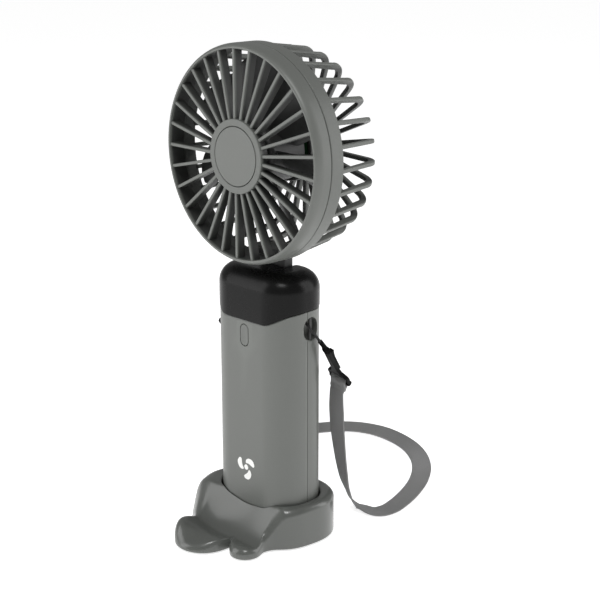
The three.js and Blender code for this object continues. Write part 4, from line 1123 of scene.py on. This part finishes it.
def stand():
    rays, a = [], -150.0
    while a < 209.9:
        rays.append(math.radians(a))
        a += 1.25 if a < -30 else 2.5
    reaches = [outline_radius(angle) for angle in rays]
    rings = []

    def ring(place):
        points = []
        for angle, reach in zip(rays, reaches):
            r, z = place(angle, reach)
            x, y = r * math.cos(angle), r * math.sin(angle)
            points.append((x, y, stand_top(x, y) if z is None else z))
        rings.append(points)

    def round_at(angle, reach):
        x, y = reach * math.cos(angle), reach * math.sin(angle)
        return min(edge_round(x, y), max(1.0, stand_top(x, y) - 1.5))

    ring(lambda angle, reach: (reach * 0.4, PLATE_TOP_Z + GAP))
    ring(lambda angle, reach: (reach - 1.6, PLATE_TOP_Z + GAP))
    ring(lambda angle, reach: (reach - 1.6, STAND_FOOT_Z + 0.2))
    ring(lambda angle, reach: (reach - 1.4, STAND_FOOT_Z))
    for a in quarter(4):
        ring(lambda angle, reach: (reach - 0.9 * (1 - math.sin(a)), STAND_FOOT_Z + 0.9 * (1 - math.cos(a))))
    for a in quarter(9):
        def edge(angle, reach):
            size = round_at(angle, reach)
            r = reach - size * (1 - math.cos(a)) - 0.3 * math.sin(a)
            return r, stand_top(r * math.cos(angle), r * math.sin(angle)) - size * (1 - math.sin(a))
        ring(edge)
    for i, line in enumerate(reversed(FRONT_LINES)):
        def across(angle, reach):
            crossing = line / math.sin(angle) if math.sin(angle) < -0.1 else 1e9
            inside = (reach - round_at(angle, reach) - 0.3) * (1 - 0.006 * (i + 1))
            return min(inside, crossing), None
        ring(across)
    ring(lambda angle, reach: (8.0, None))
    body = loft("stand_shell", rings)
    mouth = -SOCKET_CLEARANCE
    socket = [level(mouth, SOCKET_FLOOR_Z), level(mouth, RIM_Z - 1.3)]
    socket += [level(mouth - 1.1 * (1 - math.cos(a)), RIM_Z - 1.1 + 1.1 * math.sin(a)) for a in quarter(5)]
    socket += [level(mouth - 1.3, RIM_Z + 0.6)]
    cut(body, loft("socket", socket))
    dress(body, "stand", "stand_grey", materials["stand"], "base_shell")


stand()

# ---------------------------------------------------------------- screws, hinge, motor and electronics
KEPT = {
    "lanyard_eye_pin_left": "dark", "lanyard_eye_pin_right": "dark",
    "base_plate": "dark", "grip_pad": "rubber", "button_switch": "dark", "switch_board": "board",
    "control_board": "board", "motor_board": "board", "battery_cell": "cell", "motor_stator": "copper",
    "motor_shaft": "shaft", "bearing_front": "shaft", "bearing_rear": "shaft", "rotor_can": "steel",
}
for node_name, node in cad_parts.items():
    finish = materials[KEPT.get(node_name, "steel")]
    for slot in node.material_slots:
        slot.link = "OBJECT"
        slot.material = finish


# ---------------------------------------------------------------- studio
def studio():
    corners = rectangle(-FLOOR_REACH, FLOOR_REACH, -FLOOR_REACH, FLOOR_REACH)
    floor = make("floor", [(x, y, FLOOR_Z) for x, y in corners], [(0, 1, 2, 3)])
    paper = Recipe("floor_paper", (0.93, 0.93, 0.93), 0.9)
    paper.tint(paper.noise(2.0, 2), (0.9, 0.9, 0.9), 0.3)
    paper.set(paper.shader, {"Emission Color": (1, 1, 1, 1), "Emission Strength": FLOOR_GLOW})
    floor.data.materials.append(paper.material)
    world = bpy.data.worlds.new("studio")
    world.use_nodes = True
    world.node_tree.nodes["Background"].inputs["Color"].default_value = (1, 1, 1, 1)
    world.node_tree.nodes["Background"].inputs["Strength"].default_value = WORLD_LIGHT
    bpy.context.scene.world = world
    for name, place, size, power in LIGHTS:
        light = bpy.data.lights.new(name, "AREA")
        light.shape, light.size, light.size_y, light.energy = "RECTANGLE", size[0], size[1], power
        lamp = linked(name, light)
        lamp.location = place
        lamp.rotation_euler = (Vector(LIT_PLACE) - Vector(place)).to_track_quat("-Z", "Y").to_euler()
    bpy.context.scene.view_settings.view_transform = "Standard"


WORLD_LIGHT, FLOOR_GLOW = 0.3, 0.7
FLOOR_REACH, FLOOR_Z = 9000, -0.3
LIT_PLACE = (0, 0, 0.1)
# Name, place, size in metres and power in watts.
LIGHTS = [
    ("left_softbox", (-0.75, -0.95, 0.55), (0.7, 1.1), 6),
    ("right_softbox", (0.85, 0.95, 0.5), (0.5, 1.1), 5),
    ("top_softbox", (0.42, -0.46, 1.05), (0.4, 0.4), 6),
]
studio()
